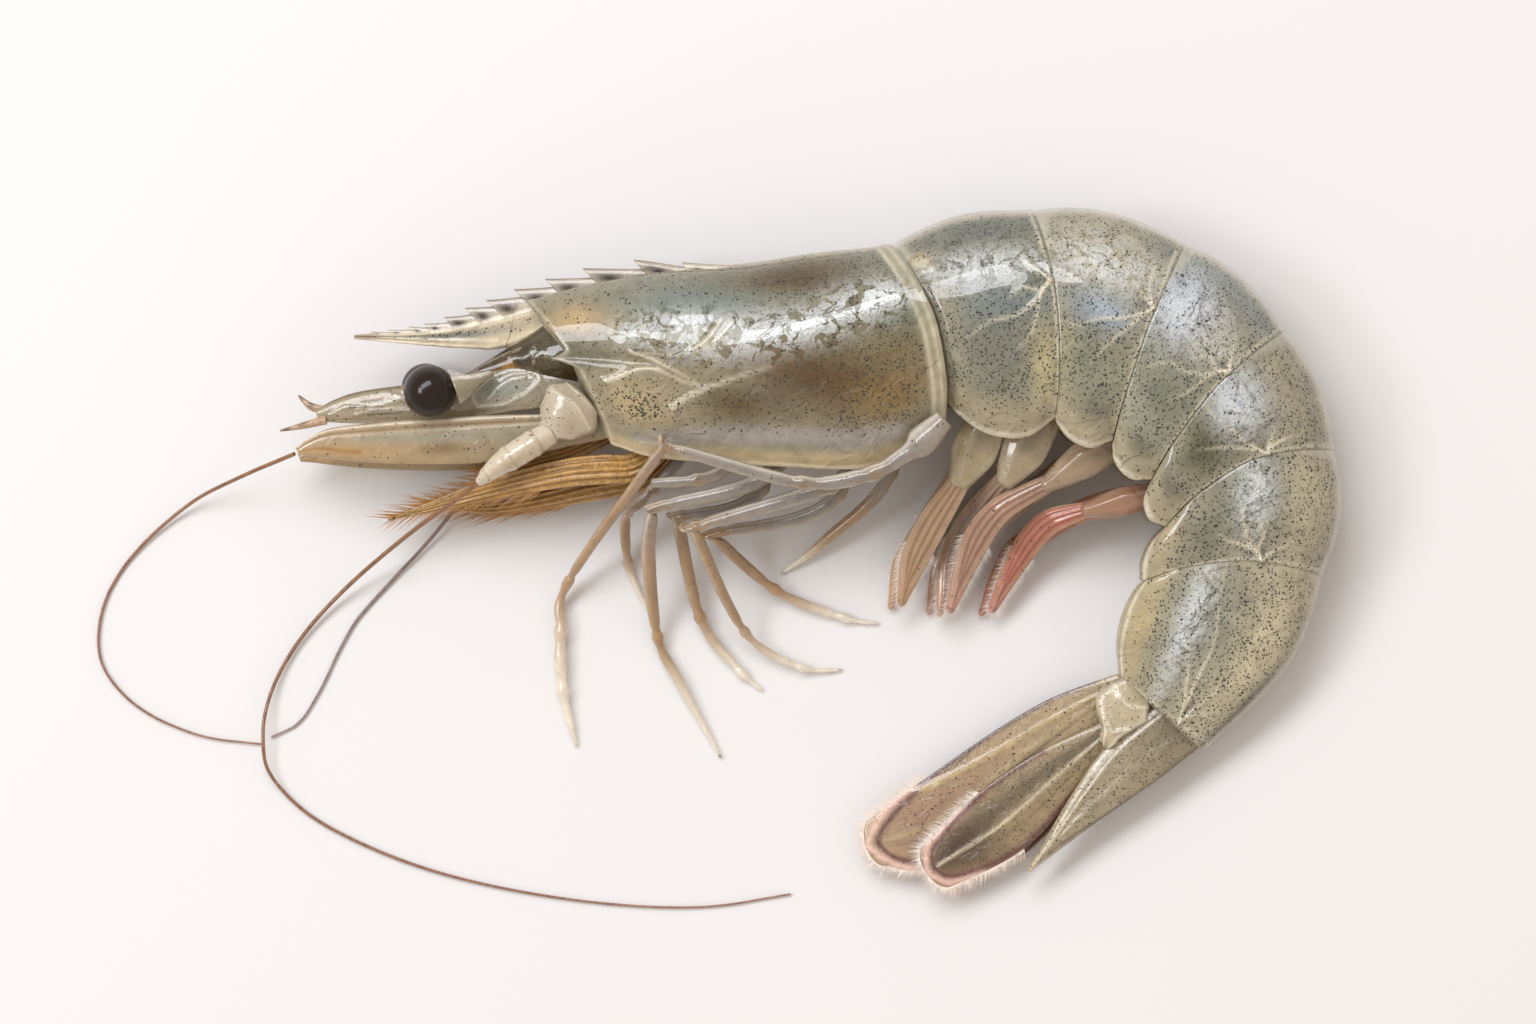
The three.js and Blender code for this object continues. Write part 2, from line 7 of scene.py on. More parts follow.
import bpy
import numpy as np
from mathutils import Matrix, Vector


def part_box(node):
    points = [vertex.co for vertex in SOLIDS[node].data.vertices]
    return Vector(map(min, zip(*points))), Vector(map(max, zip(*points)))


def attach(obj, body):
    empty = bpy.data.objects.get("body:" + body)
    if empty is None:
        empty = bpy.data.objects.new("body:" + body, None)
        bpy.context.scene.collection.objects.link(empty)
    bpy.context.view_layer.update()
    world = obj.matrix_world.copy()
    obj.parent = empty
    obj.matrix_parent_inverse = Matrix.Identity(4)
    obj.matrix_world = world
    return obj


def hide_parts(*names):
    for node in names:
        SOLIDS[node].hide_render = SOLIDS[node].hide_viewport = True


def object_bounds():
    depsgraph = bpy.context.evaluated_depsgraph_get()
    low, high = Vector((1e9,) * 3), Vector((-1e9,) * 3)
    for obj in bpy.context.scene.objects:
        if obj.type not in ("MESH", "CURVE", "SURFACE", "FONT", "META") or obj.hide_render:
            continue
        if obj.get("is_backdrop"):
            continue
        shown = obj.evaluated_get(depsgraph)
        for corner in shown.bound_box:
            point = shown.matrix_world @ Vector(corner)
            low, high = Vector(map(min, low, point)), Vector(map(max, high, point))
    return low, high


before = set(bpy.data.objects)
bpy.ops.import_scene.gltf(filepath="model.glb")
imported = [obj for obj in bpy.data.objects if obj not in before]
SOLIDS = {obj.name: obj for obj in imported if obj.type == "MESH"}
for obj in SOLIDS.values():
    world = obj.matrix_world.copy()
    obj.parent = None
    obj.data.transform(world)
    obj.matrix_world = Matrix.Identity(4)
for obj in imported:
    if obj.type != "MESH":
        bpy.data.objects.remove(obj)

MM = 0.001
solid_low, solid_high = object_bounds()
print(len(SOLIDS), "solids,", [round(side / MM, 1) for side in solid_high - solid_low], "mm")

# %% [markdown]
# ## Camera, table and light
# The animal is seen straight from above through a long lens, so that it looks flat and undistorted.
# A wide soft light hangs up and to the left of it and draws one long white band on the wet shell. A
# small one on the left catches the sides of the rings, and the warm room fills the shadows. A window
# light would give harder, smaller glints.

# %% Camera
LENS_MM = 240
PICTURE_WIDTH = 153.6 * MM
SENSOR_MM = 36
OFF_CENTRE = (0.0431, 0.0704)  # from the middle of the box, as shares of its sides
PICTURE_CENTRE = (solid_low + solid_high) / 2
PICTURE_CENTRE.x += OFF_CENTRE[0] * (solid_high.x - solid_low.x)
PICTURE_CENTRE.y += OFF_CENTRE[1] * (solid_high.y - solid_low.y)
MEAN_HEIGHT = 8 * MM

lens = bpy.data.cameras.new("camera")
lens.lens = LENS_MM
lens.sensor_width = SENSOR_MM
lens.clip_start = 0.05
camera = bpy.data.objects.new("camera", lens)
camera_distance = PICTURE_WIDTH * LENS_MM / SENSOR_MM
camera.location = (PICTURE_CENTRE.x, PICTURE_CENTRE.y, MEAN_HEIGHT + camera_distance)
scene = bpy.context.scene
scene.collection.objects.link(camera)
scene.camera = camera
scene.view_settings.view_transform = "Standard"
print("the camera hangs", round(camera_distance, 2), "m above the animal")


# %% Table and light
def new_material(name):
    """A material with an empty node tree, and its output node."""
    material = bpy.data.materials.new(name)
    material.use_nodes = True
    material.node_tree.nodes.clear()
    return material, material.node_tree


def feed(tree, sockets, values):
    """Gives each input socket a number, a colour or the socket that feeds it."""
    for socket, value in zip(sockets, values):
        if isinstance(value, bpy.types.NodeSocket):
            tree.links.new(value, socket)
        else:
            socket.default_value = value


def add_node(tree, kind, settings=None, **inputs):
    """Adds a node with its settings and what its inputs are given."""
    made = tree.nodes.new(kind)
    for key, value in (settings or {}).items():
        setattr(made, key, value)
    feed(tree, [made.inputs[key.replace("_", " ")] for key in inputs], inputs.values())
    return made


def principled(tree, **inputs):
    """The shader of a material, joined to its output."""
    shader = add_node(tree, "ShaderNodeBsdfPrincipled", **inputs)
    add_node(tree, "ShaderNodeOutputMaterial", Surface=shader.outputs["BSDF"])


def area_light(name, aim, direction, distance, size, watts):
    """A flat soft light that looks at a point."""
    light = bpy.data.lights.new(name, "AREA")
    light.shape = "RECTANGLE"
    light.size, light.size_y = size
    light.energy = watts
    light.color = LAMP_COLOUR
    holder = bpy.data.objects.new(name, light)
    away = direction.normalized()
    holder.location = aim + away * distance
    holder.rotation_mode = "QUATERNION"
    holder.rotation_quaternion = away.to_track_quat("Z", "Y")
    scene.collection.objects.link(holder)


TABLE_COLOUR = (0.745, 0.74, 0.75, 1)
ROOM_COLOUR = (1.0, 0.9, 0.8, 1)
ROOM_STRENGTH = 0.73
LAMP_COLOUR = (0.92, 0.95, 1.0)
LAMP_DISTANCE = 0.9
# Each lamp's direction from the animal, its size in metres and its power in watts.
LAMPS = [("soft_box", (-0.36, 0.6, 1.0), (0.7, 0.3), 4.8),
         ("left_box", (-0.92, 0.1, 1.0), (0.3, 0.22), 2.0)]
table_material, table_tree = new_material("pale_table")
principled(table_tree, Base_Color=TABLE_COLOUR, Roughness=0.9, Specular_IOR_Level=0.1)
bpy.ops.mesh.primitive_plane_add(size=4)
table = bpy.context.object
table.name = "table"
table.data.materials.append(table_material)
table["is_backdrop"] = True

aim = PICTURE_CENTRE.copy()
aim.z = 0
for name, direction, size, watts in LAMPS:
    area_light(name, aim, Vector(direction), LAMP_DISTANCE, size, watts)
world = bpy.data.worlds.new("pale_room")
world.use_nodes = True
scene.world = world
world.node_tree.nodes["Background"].inputs["Color"].default_value = ROOM_COLOUR
world.node_tree.nodes["Background"].inputs["Strength"].default_value = ROOM_STRENGTH

# %% [markdown]
# ## Reading the solids
# Each solid is a row of rings between two end points, like a lofted tube. To build a finer skin over
# it, the rings have to be found again. The corners of loose triangles are merged, and from an end
# point the rings lie one step, two steps, three steps away along the edges.


# %% Rings of a solid
def corners_of(name):
    """A solid's corners, each listed once, and the set of corners that share an edge with each."""
    mesh = SOLIDS[name].data
    places = np.array([vertex.co for vertex in mesh.vertices])
    keys = np.round(places / (0.001 * MM)).astype(np.int64)
    _, first, which = np.unique(keys, axis=0, return_index=True, return_inverse=True)
    which = which.ravel()
    beside = [set() for _ in first]
    for face in mesh.polygons:
        ring = {int(which[corner]) for corner in face.vertices}
        for corner in ring:
            beside[corner] |= ring - {corner}
    return places[first], beside


def layers_from(end, beside):
    """The corners one step from an end, two steps from it, and so on."""
    seen, layer, layers = {end}, {end}, []
    while True:
        layer = set().union(*(beside[corner] for corner in layer)) - seen
        if not layer:
            return layers
        seen |= layer
        layers.append(layer)


def walk_round(layer, beside):
    """A ring's corners in order."""
    order = [min(layer)]
    while len(order) < len(layer):
        following = (beside[order[-1]] & layer) - set(order)
        order.append(min(following))
    return order


def turned_like(ring, guide):
    """The same ring, begun and directed so that its corners follow those of `guide`."""
    count = len(ring)
    place, goal = ring - ring.mean(axis=0), guide - guide.mean(axis=0)
    orders = [np.roll(np.arange(count)[::way], step) for way in (1, -1) for step in range(count)]
    return ring[min(orders, key=lambda order: np.linalg.norm(place[order] - goal))]


def rings_of(name, start):
    """The rings of a solid as an array [ring, corner, axis]. The first one lies nearest to `start`."""
    places, beside = corners_of(name)
    for end in range(len(places)):
        layers = layers_from(end, beside)
        sizes = {len(layer) for layer in layers[:-1]}
        if len(layers[-1]) == 1 and len(sizes) == 1:
            break
    else:
        raise ValueError(name + " has no row of equal rings")
    rings = np.array([places[walk_round(layer, beside)] for layer in layers[:-1]])
    for k in range(1, len(rings)):
        rings[k] = turned_like(rings[k], rings[k - 1])
    gaps = np.linalg.norm(rings.mean(axis=1)[[0, -1]] - np.array(start), axis=1)
    return rings if gaps[0] < gaps[1] else rings[::-1]


def middle_of(name):
    """The middle of a solid's box."""
    low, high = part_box(name)
    return (low + high) / 2


# %% [markdown]
# ## Fine skins
# A skin is a grid of points: rows along the animal, columns round it. A Catmull-Rom curve through the
# coarse rings fills in the rows and columns between them. Each point of a body ring also knows how far
# along its plate it lies and how deep below the back, both from 0 to 1, so that ridges and patches of
# colour can be placed as a person would describe them: "half way along, a third of the way down".


# %% Curves through rows of points
def fill_in(rows, at, closed=False):
    """Reads rows of points at fractional row numbers, on a Catmull-Rom curve."""
    rows = np.asarray(rows, float)
    at = np.asarray(at, float)
    if closed:
        k = np.floor(at).astype(int)
        parts = [rows[(k + step) % len(rows)] for step in (-1, 0, 1, 2)]
    else:
        padded = np.concatenate([[2 * rows[0] - rows[1]], rows, [2 * rows[-1] - rows[-2]]])
        k = np.clip(np.floor(at).astype(int), 0, len(rows) - 2)
        parts = [padded[k + step] for step in (0, 1, 2, 3)]
    t = (at - k).reshape((-1,) + (1,) * (rows.ndim - 1))
    before, here, there, after = parts
    slope = (there - before) / 2
    next_slope = (after - here) / 2
    ease = t * t * (3 - 2 * t)
    return (here + (there - here) * ease + slope * t * (1 - t) ** 2 - next_slope * t * t * (1 - t))


def even_steps(rings, count):
    """Row numbers that divide the way through the rings' middles evenly."""
    middles = rings.mean(axis=1)
    way = np.concatenate([[0], np.cumsum(np.linalg.norm(np.diff(middles, axis=0), axis=1))])
    return np.interp(np.linspace(0, way[-1], count), way, np.arange(len(rings)))


def unit(vectors):
    return vectors / np.maximum(np.linalg.norm(vectors, axis=-1, keepdims=True), 1e-12)


def smooth_step(low, high, values):
    share = np.clip((values - low) / (high - low), 0, 1)
    return share * share * (3 - 2 * share)


# %% Meshes from grids
def mesh_from_grid(name, grid, material, numbers=None, colours=None):
    """A closed skin over rows of rings, with a point at each end, and its attributes."""
    rows, sides = grid.shape[:2]
    places = np.concatenate([grid[:1].mean(axis=1), grid.reshape(-1, 3), grid[-1:].mean(axis=1)])
    row, side = np.meshgrid(np.arange(rows - 1), np.arange(sides), indexing="ij")
    here = 1 + row * sides + side
    beside = 1 + row * sides + (side + 1) % sides
    quads = np.stack([here, beside, beside + sides, here + sides], axis=-1).reshape(-1, 4)
    around = np.arange(sides)
    last = len(places) - 1
    front = [(0, 1 + (k + 1) % sides, 1 + k) for k in around]
    rear = [(last, last - sides + k, last - sides + (k + 1) % sides) for k in around]
    mesh = bpy.data.meshes.new(name)
    mesh.from_pydata(places.tolist(), [], quads.tolist() + front + rear)
    volume = np.einsum("ij,ij->", places[quads[:, 0]], np.cross(places[quads[:, 1]], places[quads[:, 2]]))
    volume += np.einsum("ij,ij->", places[quads[:, 0]], np.cross(places[quads[:, 2]], places[quads[:, 3]]))
    if volume < 0:
        mesh.flip_normals()
    for key, field in {**(numbers or {}), **(colours or {})}.items():
        values = np.asarray(field, float)
        wide = values.ndim == 3
        flat = values.reshape((-1, values.shape[-1]) if wide else -1)
        first, final = (np.reshape(row.mean(axis=0), flat[:1].shape) for row in (values[0], values[-1]))
        flat = np.concatenate([first, flat, final])
        if wide:
            flat = np.concatenate([flat, np.ones((len(flat), 1))], axis=1)
        made = mesh.attributes.new(key, "FLOAT_COLOR" if wide else "FLOAT", "POINT")
        made.data.foreach_set("color" if wide else "value", flat.ravel().astype(np.float32))
    mesh.materials.append(material)
    mesh.polygons.foreach_set("use_smooth", [True] * len(mesh.polygons))
    piece = bpy.data.objects.new(name, mesh)
    scene.collection.objects.link(piece)
    return piece


def finish_piece(piece, slot, *nodes):
    """The piece moves with the one body and stands for its solids. Its slot is not used."""
    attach(piece, "root")
    if nodes:
        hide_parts(*nodes)
    return piece


# %% Skins of the body plates
CURL = np.array(middle_of("pleopod_1_far"))  # the animal is curled round this place
CORNERS = 18  # corners of a body ring, from the ridge of the back round both sides
EDGE_CORNER = 7  # the lower edge of the near side plate
KEEL_CORNER = 9  # the bottom of the groove between the two side plates


def body_rings(name, ahead):
    """A plate's rings, each from the ridge of the back and down the near side first."""
    ordered = []
    for ring in rings_of(name, ahead):
        reach = np.linalg.norm(ring[:, :2] - CURL[:2], axis=1)
        ring = np.roll(ring, -int(reach.argmax()), axis=0)
        if ring[3, 2] < ring[-3, 2]:
            ring = np.concatenate([ring[:1], ring[:0:-1]])
        ordered.append(ring)
    return np.array(ordered)


def tone(code):
    """A colour from its six hexadecimal digits, as linear light."""
    parts = np.array([int(code[k:k + 2], 16) for k in (0, 2, 4)]) / 255
    return np.where(parts < 0.04045, parts / 12.92, ((parts + 0.055) / 1.055) ** 2.4)


class Skin:
    """A fine grid over a piece, with its relief and its colours. Places on it are pairs: the share
    of the way along the piece, and the share of the way down its side (or across it)."""

    def __init__(self, grid, deep, size, ground, hidden=False):
        self.grid = grid
        self.deep = deep
        self.along = np.linspace(0, 1, len(grid))[:, None] * np.ones_like(deep)
        self.length, self.depth = size[0] / MM, size[1] / MM
        self.hidden = np.zeros_like(deep, bool) | hidden
        self.lift = np.zeros_like(deep)
        self.tint = np.ones(grid.shape) * tone(ground)
        self.dots = np.ones_like(deep)
        self.crease_and_gleam = np.zeros_like(deep)

    def outward(self):
        """The direction away from the piece at each point."""
        down_rows = np.gradient(self.grid, axis=0)
        round_rows = np.roll(self.grid, -1, axis=1) - np.roll(self.grid, 1, axis=1)
        normal = unit(np.cross(round_rows, down_rows))
        middle = self.grid.mean(axis=1, keepdims=True)
        inside = ((self.grid - middle) * normal).sum() < 0
        return -normal if inside else normal

    def beyond(self, line):
        """How far each point lies from a line through places, in mm."""
        here = np.stack([self.along * self.length, self.deep * self.depth], axis=-1)
        line = np.array(line, float) * (self.length, self.depth)
        if len(line) > 2:
            line = fill_in(line, np.linspace(0, len(line) - 1, 5 * (len(line) - 1) + 1))
        nearest = np.full(self.deep.shape, 1e9)
        for start, end in zip(line[:-1], line[1:]):
            way = end - start
            share = np.clip(((here - start) @ way) / (way @ way), 0, 1)
            nearest = np.minimum(nearest, np.linalg.norm(here - start - share[..., None] * way, axis=-1))
        return np.where(self.hidden, 1e9, nearest)

    def near(self, place, reach):
        """1 at a place, about a third of that at its reach along or down, and less past it."""
        span = ((self.along - place[0]) / reach[0]) ** 2 + ((self.deep - place[1]) / reach[1]) ** 2
        return np.exp(-span)

    def ridge(self, line, width, height):
        self.lift += height * np.exp(-((self.beyond(line) / width) ** 2))

    def draw(self, line, width, colour, strength=1.0):
        self.blend(np.exp(-((self.beyond(line) / width) ** 2)) * strength, colour)

    def stain(self, place, reach, colour, strength=1.0):
        self.blend(self.near(place, reach) * strength, colour)

    def fold(self, line, width, height, drawn, colour, strength=1.0):
        """A ridge with a line of colour along its top."""
        self.ridge(line, width, height)
        self.draw(line, drawn, colour, strength)

    def paint(self, patches):
        """Stains the skin with patches, each a place, a reach, a colour and a strength."""
        for patch in patches:
            self.stain(*patch)

    def blend(self, share, colour):
        share = np.clip(share, 0, 1)[..., None]
        self.tint = self.tint * (1 - share) + tone(colour) * share

    def piece(self, name, material):
        grid = self.grid + self.outward() * self.lift[..., None] * MM
        grid[..., 2] = np.maximum(grid[..., 2], 0)
        numbers = {"dots": self.dots, "crease_and_gleam": self.crease_and_gleam}
        return mesh_from_grid(name, grid, material, numbers, {"tint": self.tint})


NEAR_SHARE = 0.74  # of the columns lie on the near side, where the eye goes


def plate_skin(rings, rows, columns, ground):
    """The fine skin of a body plate: shares run from front to rear and from the back down."""
    around = np.interp(np.arange(columns) / columns, [0, NEAR_SHARE, 1], [0, CORNERS / 2, CORNERS])
    rings = fill_in(rings, even_steps(rings, rows))
    grid = fill_in(rings.transpose(1, 0, 2), around, closed=True).transpose(1, 0, 2)
    back = grid[:, :1]
    edges = [int(np.abs(around - corner).argmin()) for corner in (EDGE_CORNER, CORNERS - EDGE_CORNER)]
    down = grid[:, edges].mean(axis=1, keepdims=True) - back
    depth = np.linalg.norm(down, axis=-1, keepdims=True)
    deep = (((grid - back) * down).sum(axis=-1, keepdims=True) / depth**2)[..., 0]
    hidden = np.abs(around - KEEL_CORNER) < KEEL_CORNER - EDGE_CORNER
    way = np.linalg.norm(np.diff(rings.mean(axis=1), axis=0), axis=1).sum()
    return Skin(grid, deep, (way, float(depth.mean())), ground, hidden[None, :])

# %% [markdown]
# ## Finishes
# Raw shell is wet, half clear and full of tiny dark pigment cells. Only the limbs and the small parts
# of the head get a partly clear finish here. What would show through the plates is painted on them.
# Three effects are shared by many finishes, so each is a node group: the speckles, a slow mottling,
# and the fine wrinkles that break up the reflection of the light. Where the skin is creased, the wet
# skin also paints pale streaks into its colour as a painted highlight. The broad colours aren't in the
# nodes. They are painted on each skin as an attribute named tint, because they follow the anatomy.
# A few of them are painted highlights, pale patches where the wet shell would reflect the light.


# %% Shared effects
def new_group(name, inputs, outputs):
    """A shader node group with number inputs, and its first and last node."""
    group = bpy.data.node_groups.new(name, "ShaderNodeTree")
    for label, value in inputs.items():
        socket = group.interface.new_socket(label, in_out="INPUT", socket_type="NodeSocketFloat")
        socket.default_value = value
    for label in outputs:
        group.interface.new_socket(label, in_out="OUTPUT", socket_type="NodeSocketFloat")
    return group, group.nodes.new("NodeGroupInput").outputs, group.nodes.new("NodeGroupOutput").inputs


def maths(tree, operation, first, second=0.0, clamp=False):
    """One Math node, and the socket of its result."""
    made = tree.nodes.new("ShaderNodeMath")
    made.operation = operation
    made.use_clamp = clamp
    feed(tree, made.inputs, (first, second))
    return made.outputs[0]


def object_place(tree):
    return tree.nodes.new("ShaderNodeTexCoord").outputs["Object"]


def vector_maths(tree, operation, first, second):
    """One Vector Math node, and the socket of its result. A number scales all three axes."""
    made = tree.nodes.new("ShaderNodeVectorMath")
    made.operation = operation
    feed(tree, [made.inputs[0], made.inputs["Scale" if operation == "SCALE" else 1]], (first, second))
    return made.outputs[0]


def speckles_group():
    """Small dark cells. Size is their radius, as a share of the space between them. Density is
    how many of them show, up to 1. Past 1 they all grow."""
    group, given, result = new_group(
        "speckles", {"Scale": 1750.0, "Size": 0.27, "Density": 1.0}, ["Mask"])
    place = object_place(group)
    wobble = add_node(group, "ShaderNodeTexNoise", Vector=place, Scale=1400.0, Detail=1.0)
    shift = vector_maths(group, "SCALE", vector_maths(
        group, "SUBTRACT", wobble.outputs["Color"], (0.5, 0.5, 0.5)), 0.0006)
    cells = add_node(group, "ShaderNodeTexVoronoi",
                     Vector=vector_maths(group, "ADD", place, shift), Scale=given["Scale"])
    chance = add_node(group, "ShaderNodeSeparateColor", Color=cells.outputs["Color"])
    size = maths(group, "MULTIPLY", given["Size"], maths(
        group, "ADD", 0.55, maths(group, "MULTIPLY", chance.outputs["Green"], 0.6)))
    size = maths(group, "MULTIPLY", size, maths(group, "MAXIMUM", given["Density"], 1.0))
    spot = maths(group, "MULTIPLY", maths(
        group, "SUBTRACT", size, cells.outputs["Distance"]), 11.0, clamp=True)
    shown = maths(group, "LESS_THAN", chance.outputs["Red"], given["Density"])
    group.links.new(maths(group, "MULTIPLY", spot, shown), result["Mask"])
    return group


def mottling_group():
    """A slow unevenness round 1, for the depth of a colour."""
    group, given, result = new_group("mottling", {"Scale": 300.0, "Amount": 0.3}, ["Factor"])
    place = object_place(group)
    noise = add_node(group, "ShaderNodeTexNoise", Vector=place, Scale=given["Scale"],
                     Detail=5.0, Roughness=0.6, Distortion=0.6)
    swing = maths(group, "SUBTRACT", noise.outputs["Fac"], 0.5)
    swing = maths(group, "MULTIPLY", maths(group, "MULTIPLY", swing, 2.0), given["Amount"])
    group.links.new(maths(group, "ADD", 1.0, swing), result["Factor"])
    return group


def wrinkles_group():
    """The height of wet skin: shallow dents with sharp little creases between them."""
    group, given, result = new_group(
        "wet_wrinkles", {"Scale": 260.0, "Creases": 0.6, "Grain": 0.25}, ["Height"])
    place = object_place(group)
    dents = add_node(group, "ShaderNodeTexNoise", Vector=place, Scale=given["Scale"],
                     Detail=3.0, Roughness=0.55, Distortion=0.8)
    fold = maths(group, "ABSOLUTE", maths(group, "SUBTRACT", dents.outputs["Fac"], 0.5))
    fold = maths(group, "SUBTRACT", 1.0, maths(group, "MULTIPLY", fold, 9.0), clamp=True)
    grain = add_node(group, "ShaderNodeTexNoise", Vector=place,
                     Scale=maths(group, "MULTIPLY", given["Scale"], 7.0), Detail=2.0)
    height = maths(group, "ADD", dents.outputs["Fac"], maths(group, "MULTIPLY", fold, given["Creases"]))
    height = maths(group, "ADD", height, maths(
        group, "MULTIPLY", grain.outputs["Fac"], given["Grain"]))
    group.links.new(height, result["Height"])
    return group


SPECKLES = speckles_group()
MOTTLING = mottling_group()
WRINKLES = wrinkles_group()


def use_group(tree, group, **inputs):
    made = tree.nodes.new("ShaderNodeGroup")
    made.node_tree = group
    feed(tree, [made.inputs[key] for key in inputs], inputs.values())
    return made.outputs[0]


def attribute(tree, name, output):
    return add_node(tree, "ShaderNodeAttribute", {"attribute_name": name}).outputs[output]


def mix_colour(tree, share, first, second, way="MIX"):
    """Mixes two colours. `share` is how much of the second one shows."""
    made = add_node(tree, "ShaderNodeMix", {"data_type": "RGBA", "blend_type": way})
    named = [socket for socket in made.inputs if socket.type == "RGBA"]
    feed(tree, [made.inputs[0], *named], (share, first, second))
    return next(socket for socket in made.outputs if socket.type == "RGBA")


# %% Wet skin
DOT_COLOUR = (0.018, 0.02, 0.016, 1)
DOT_SHARE = 0.92  # how much of the ground a dark cell covers
# the gleam is a painted highlight: pale streaks mixed into the colour where the skin is creased
GLEAM_COLOUR = (0.66, 0.69, 0.7, 1)
GLEAM_SHARE = 0.7
GLEAM_FROM = 0.675  # the height of a wrinkle above which it gleams
GLEAM_RISE = 9.0  # how fast the gleam grows above that
CREASED_DEPTH = 2.5  # how much is added to the wrinkles' depth where the skin is creased


def wet_skin(name, speckles, mottling, wrinkles, bump, inputs):
    """A finish for any painted skin. `speckles`, `mottling` and `wrinkles` are the inputs of the
    three groups, `bump` is how deep the wrinkles are in metres, and `inputs` go to the shader."""
    material, tree = new_material(name)
    place = attribute(tree, "tint", "Color")
    shade = add_node(tree, "ShaderNodeCombineColor", **dict.fromkeys(
        ("Red", "Green", "Blue"), use_group(tree, MOTTLING, **mottling)))
    ground = mix_colour(tree, 1.0, place, shade.outputs[0], "MULTIPLY")
    mask = use_group(tree, SPECKLES, Density=attribute(tree, "dots", "Fac"), **speckles)
    colour = mix_colour(tree, maths(tree, "MULTIPLY", mask, DOT_SHARE), ground, DOT_COLOUR)
    crease_and_gleam = attribute(tree, "crease_and_gleam", "Fac")
    # pale streaks where the skin is creased, painted in the way a broken film of water gleams
    streaks = use_group(tree, WRINKLES, Scale=800.0, Creases=0.15, Grain=0.3)
    above = maths(tree, "SUBTRACT", streaks, GLEAM_FROM)
    gleam = maths(tree, "MULTIPLY", above, GLEAM_RISE, clamp=True)
    gleam = maths(tree, "MULTIPLY", maths(tree, "MULTIPLY", gleam, crease_and_gleam), GLEAM_SHARE, clamp=True)
    colour = mix_colour(tree, gleam, colour, GLEAM_COLOUR)
    folds = maths(tree, "ADD", 1.0, maths(tree, "MULTIPLY", crease_and_gleam, CREASED_DEPTH))
    relief = add_node(tree, "ShaderNodeBump", Strength=1.0, Distance=bump, Height=maths(
        tree, "MULTIPLY", use_group(tree, WRINKLES, **wrinkles), folds))
    principled(tree, Base_Color=colour, Normal=relief.outputs["Normal"], **inputs)
    return material


SHELL = wet_skin(
    "wet_shell", {"Scale": 3300.0, "Size": 0.42}, {"Scale": 420.0, "Amount": 0.45},
    {"Scale": 300.0, "Creases": 0.25, "Grain": 0.1}, 0.0003,
    {"Roughness": 0.35, "Specular_IOR_Level": 0.15, "Coat_Weight": 1.0, "Coat_Roughness": 0.035,
     "Subsurface_Weight": 0.06, "Subsurface_Radius": (1.0, 0.8, 0.6), "Subsurface_Scale": 0.001})
CLEAR_SKIN = wet_skin(
    "clear_skin", {"Scale": 2300.0, "Size": 0.26}, {"Scale": 500.0, "Amount": 0.3},
    {"Scale": 420.0, "Creases": 0.3, "Grain": 0.1}, 0.00012,
    {"Roughness": 0.22, "Coat_Weight": 1.0, "Coat_Roughness": 0.04, "IOR": 1.4,
     "Transmission_Weight": 0.35, "Subsurface_Weight": 0.25,
     "Subsurface_Radius": (1.0, 0.85, 0.7), "Subsurface_Scale": 0.001})
TAIL_SKIN = wet_skin(
    "tail_skin", {"Scale": 3300.0, "Size": 0.34}, {"Scale": 600.0, "Amount": 0.4},
    {"Scale": 380.0, "Creases": 0.3, "Grain": 0.2}, 0.0002,
    {"Roughness": 0.3, "Coat_Weight": 0.8, "Coat_Roughness": 0.06, "IOR": 1.45,
     "Subsurface_Weight": 0.15, "Subsurface_Radius": (1.0, 0.7, 0.6), "Subsurface_Scale": 0.0008})
AMBER_SKIN = wet_skin(
    "amber_skin", {"Scale": 2600.0, "Size": 0.1}, {"Scale": 700.0, "Amount": 0.6},
    {"Scale": 600.0, "Creases": 0.6, "Grain": 0.3}, 0.0002,
    {"Roughness": 0.3, "Coat_Weight": 0.8, "Coat_Roughness": 0.1, "IOR": 1.45,
     "Subsurface_Weight": 0.3, "Subsurface_Radius": (1.0, 0.7, 0.4), "Subsurface_Scale": 0.001})


def plain_skin(name, colour, speck, inputs):
    """A finish for a piece of one colour, uneven on a fine scale."""
    material, tree = new_material(name)
    shade = use_group(tree, MOTTLING, Scale=speck, Amount=0.5)
    shades = add_node(tree, "ShaderNodeCombineColor", Red=shade, Green=shade, Blue=shade)
    ground = mix_colour(tree, 1.0, (*tone(colour), 1), shades.outputs[0], "MULTIPLY")
    principled(tree, Base_Color=ground, **inputs)
    return material


EYE_SKIN = plain_skin("wet_eye", "1c0e07", 900.0, {
    "Roughness": 0.3, "Specular_IOR_Level": 0.1, "Coat_Weight": 0.55, "Coat_Roughness": 0.04})
HAIR_SKIN = plain_skin("pale_hair", "f3e4d8", 900.0, {
    "Roughness": 0.5, "Subsurface_Weight": 0.2, "Subsurface_Scale": 0.001})
BRISTLE_SKIN = plain_skin("amber_hair", "a9783f", 900.0, {
    "Roughness": 0.4, "Subsurface_Weight": 0.2, "Subsurface_Scale": 0.001})

# %% [markdown]
# ## The rings of the tail
# Six rings slide over each other like the plates of armour. The rear margin of each is a thin line
# that stands a little proud of the next ring, whose front shows as a pale wedge where the curled back
# pulls the two apart. A third of the way down sits a hinge, with creases that run out from it, and the
# lower edge is a paler lobe. The colours differ from ring to ring, so they are listed.


# %% Relief and colour of a ring
RING_ROWS = 110
RING_COLUMNS = 260
HINGE_DEPTH = 0.35  # how far down the hinges lie
PALE_RIM = "b4ad9c"
CREAM = "d6cdb6"
MARGIN_BROWN = "85765a"


def overlap(rings, front, rear):
    """Lengthens a plate at both ends by shares of the step between its rings."""
    first = rings[0] + (rings[0] - rings[1]) * front
    last = rings[-1] + (rings[-1] - rings[-2]) * rear
    return np.concatenate([first[None], rings[1:-1], last[None]])


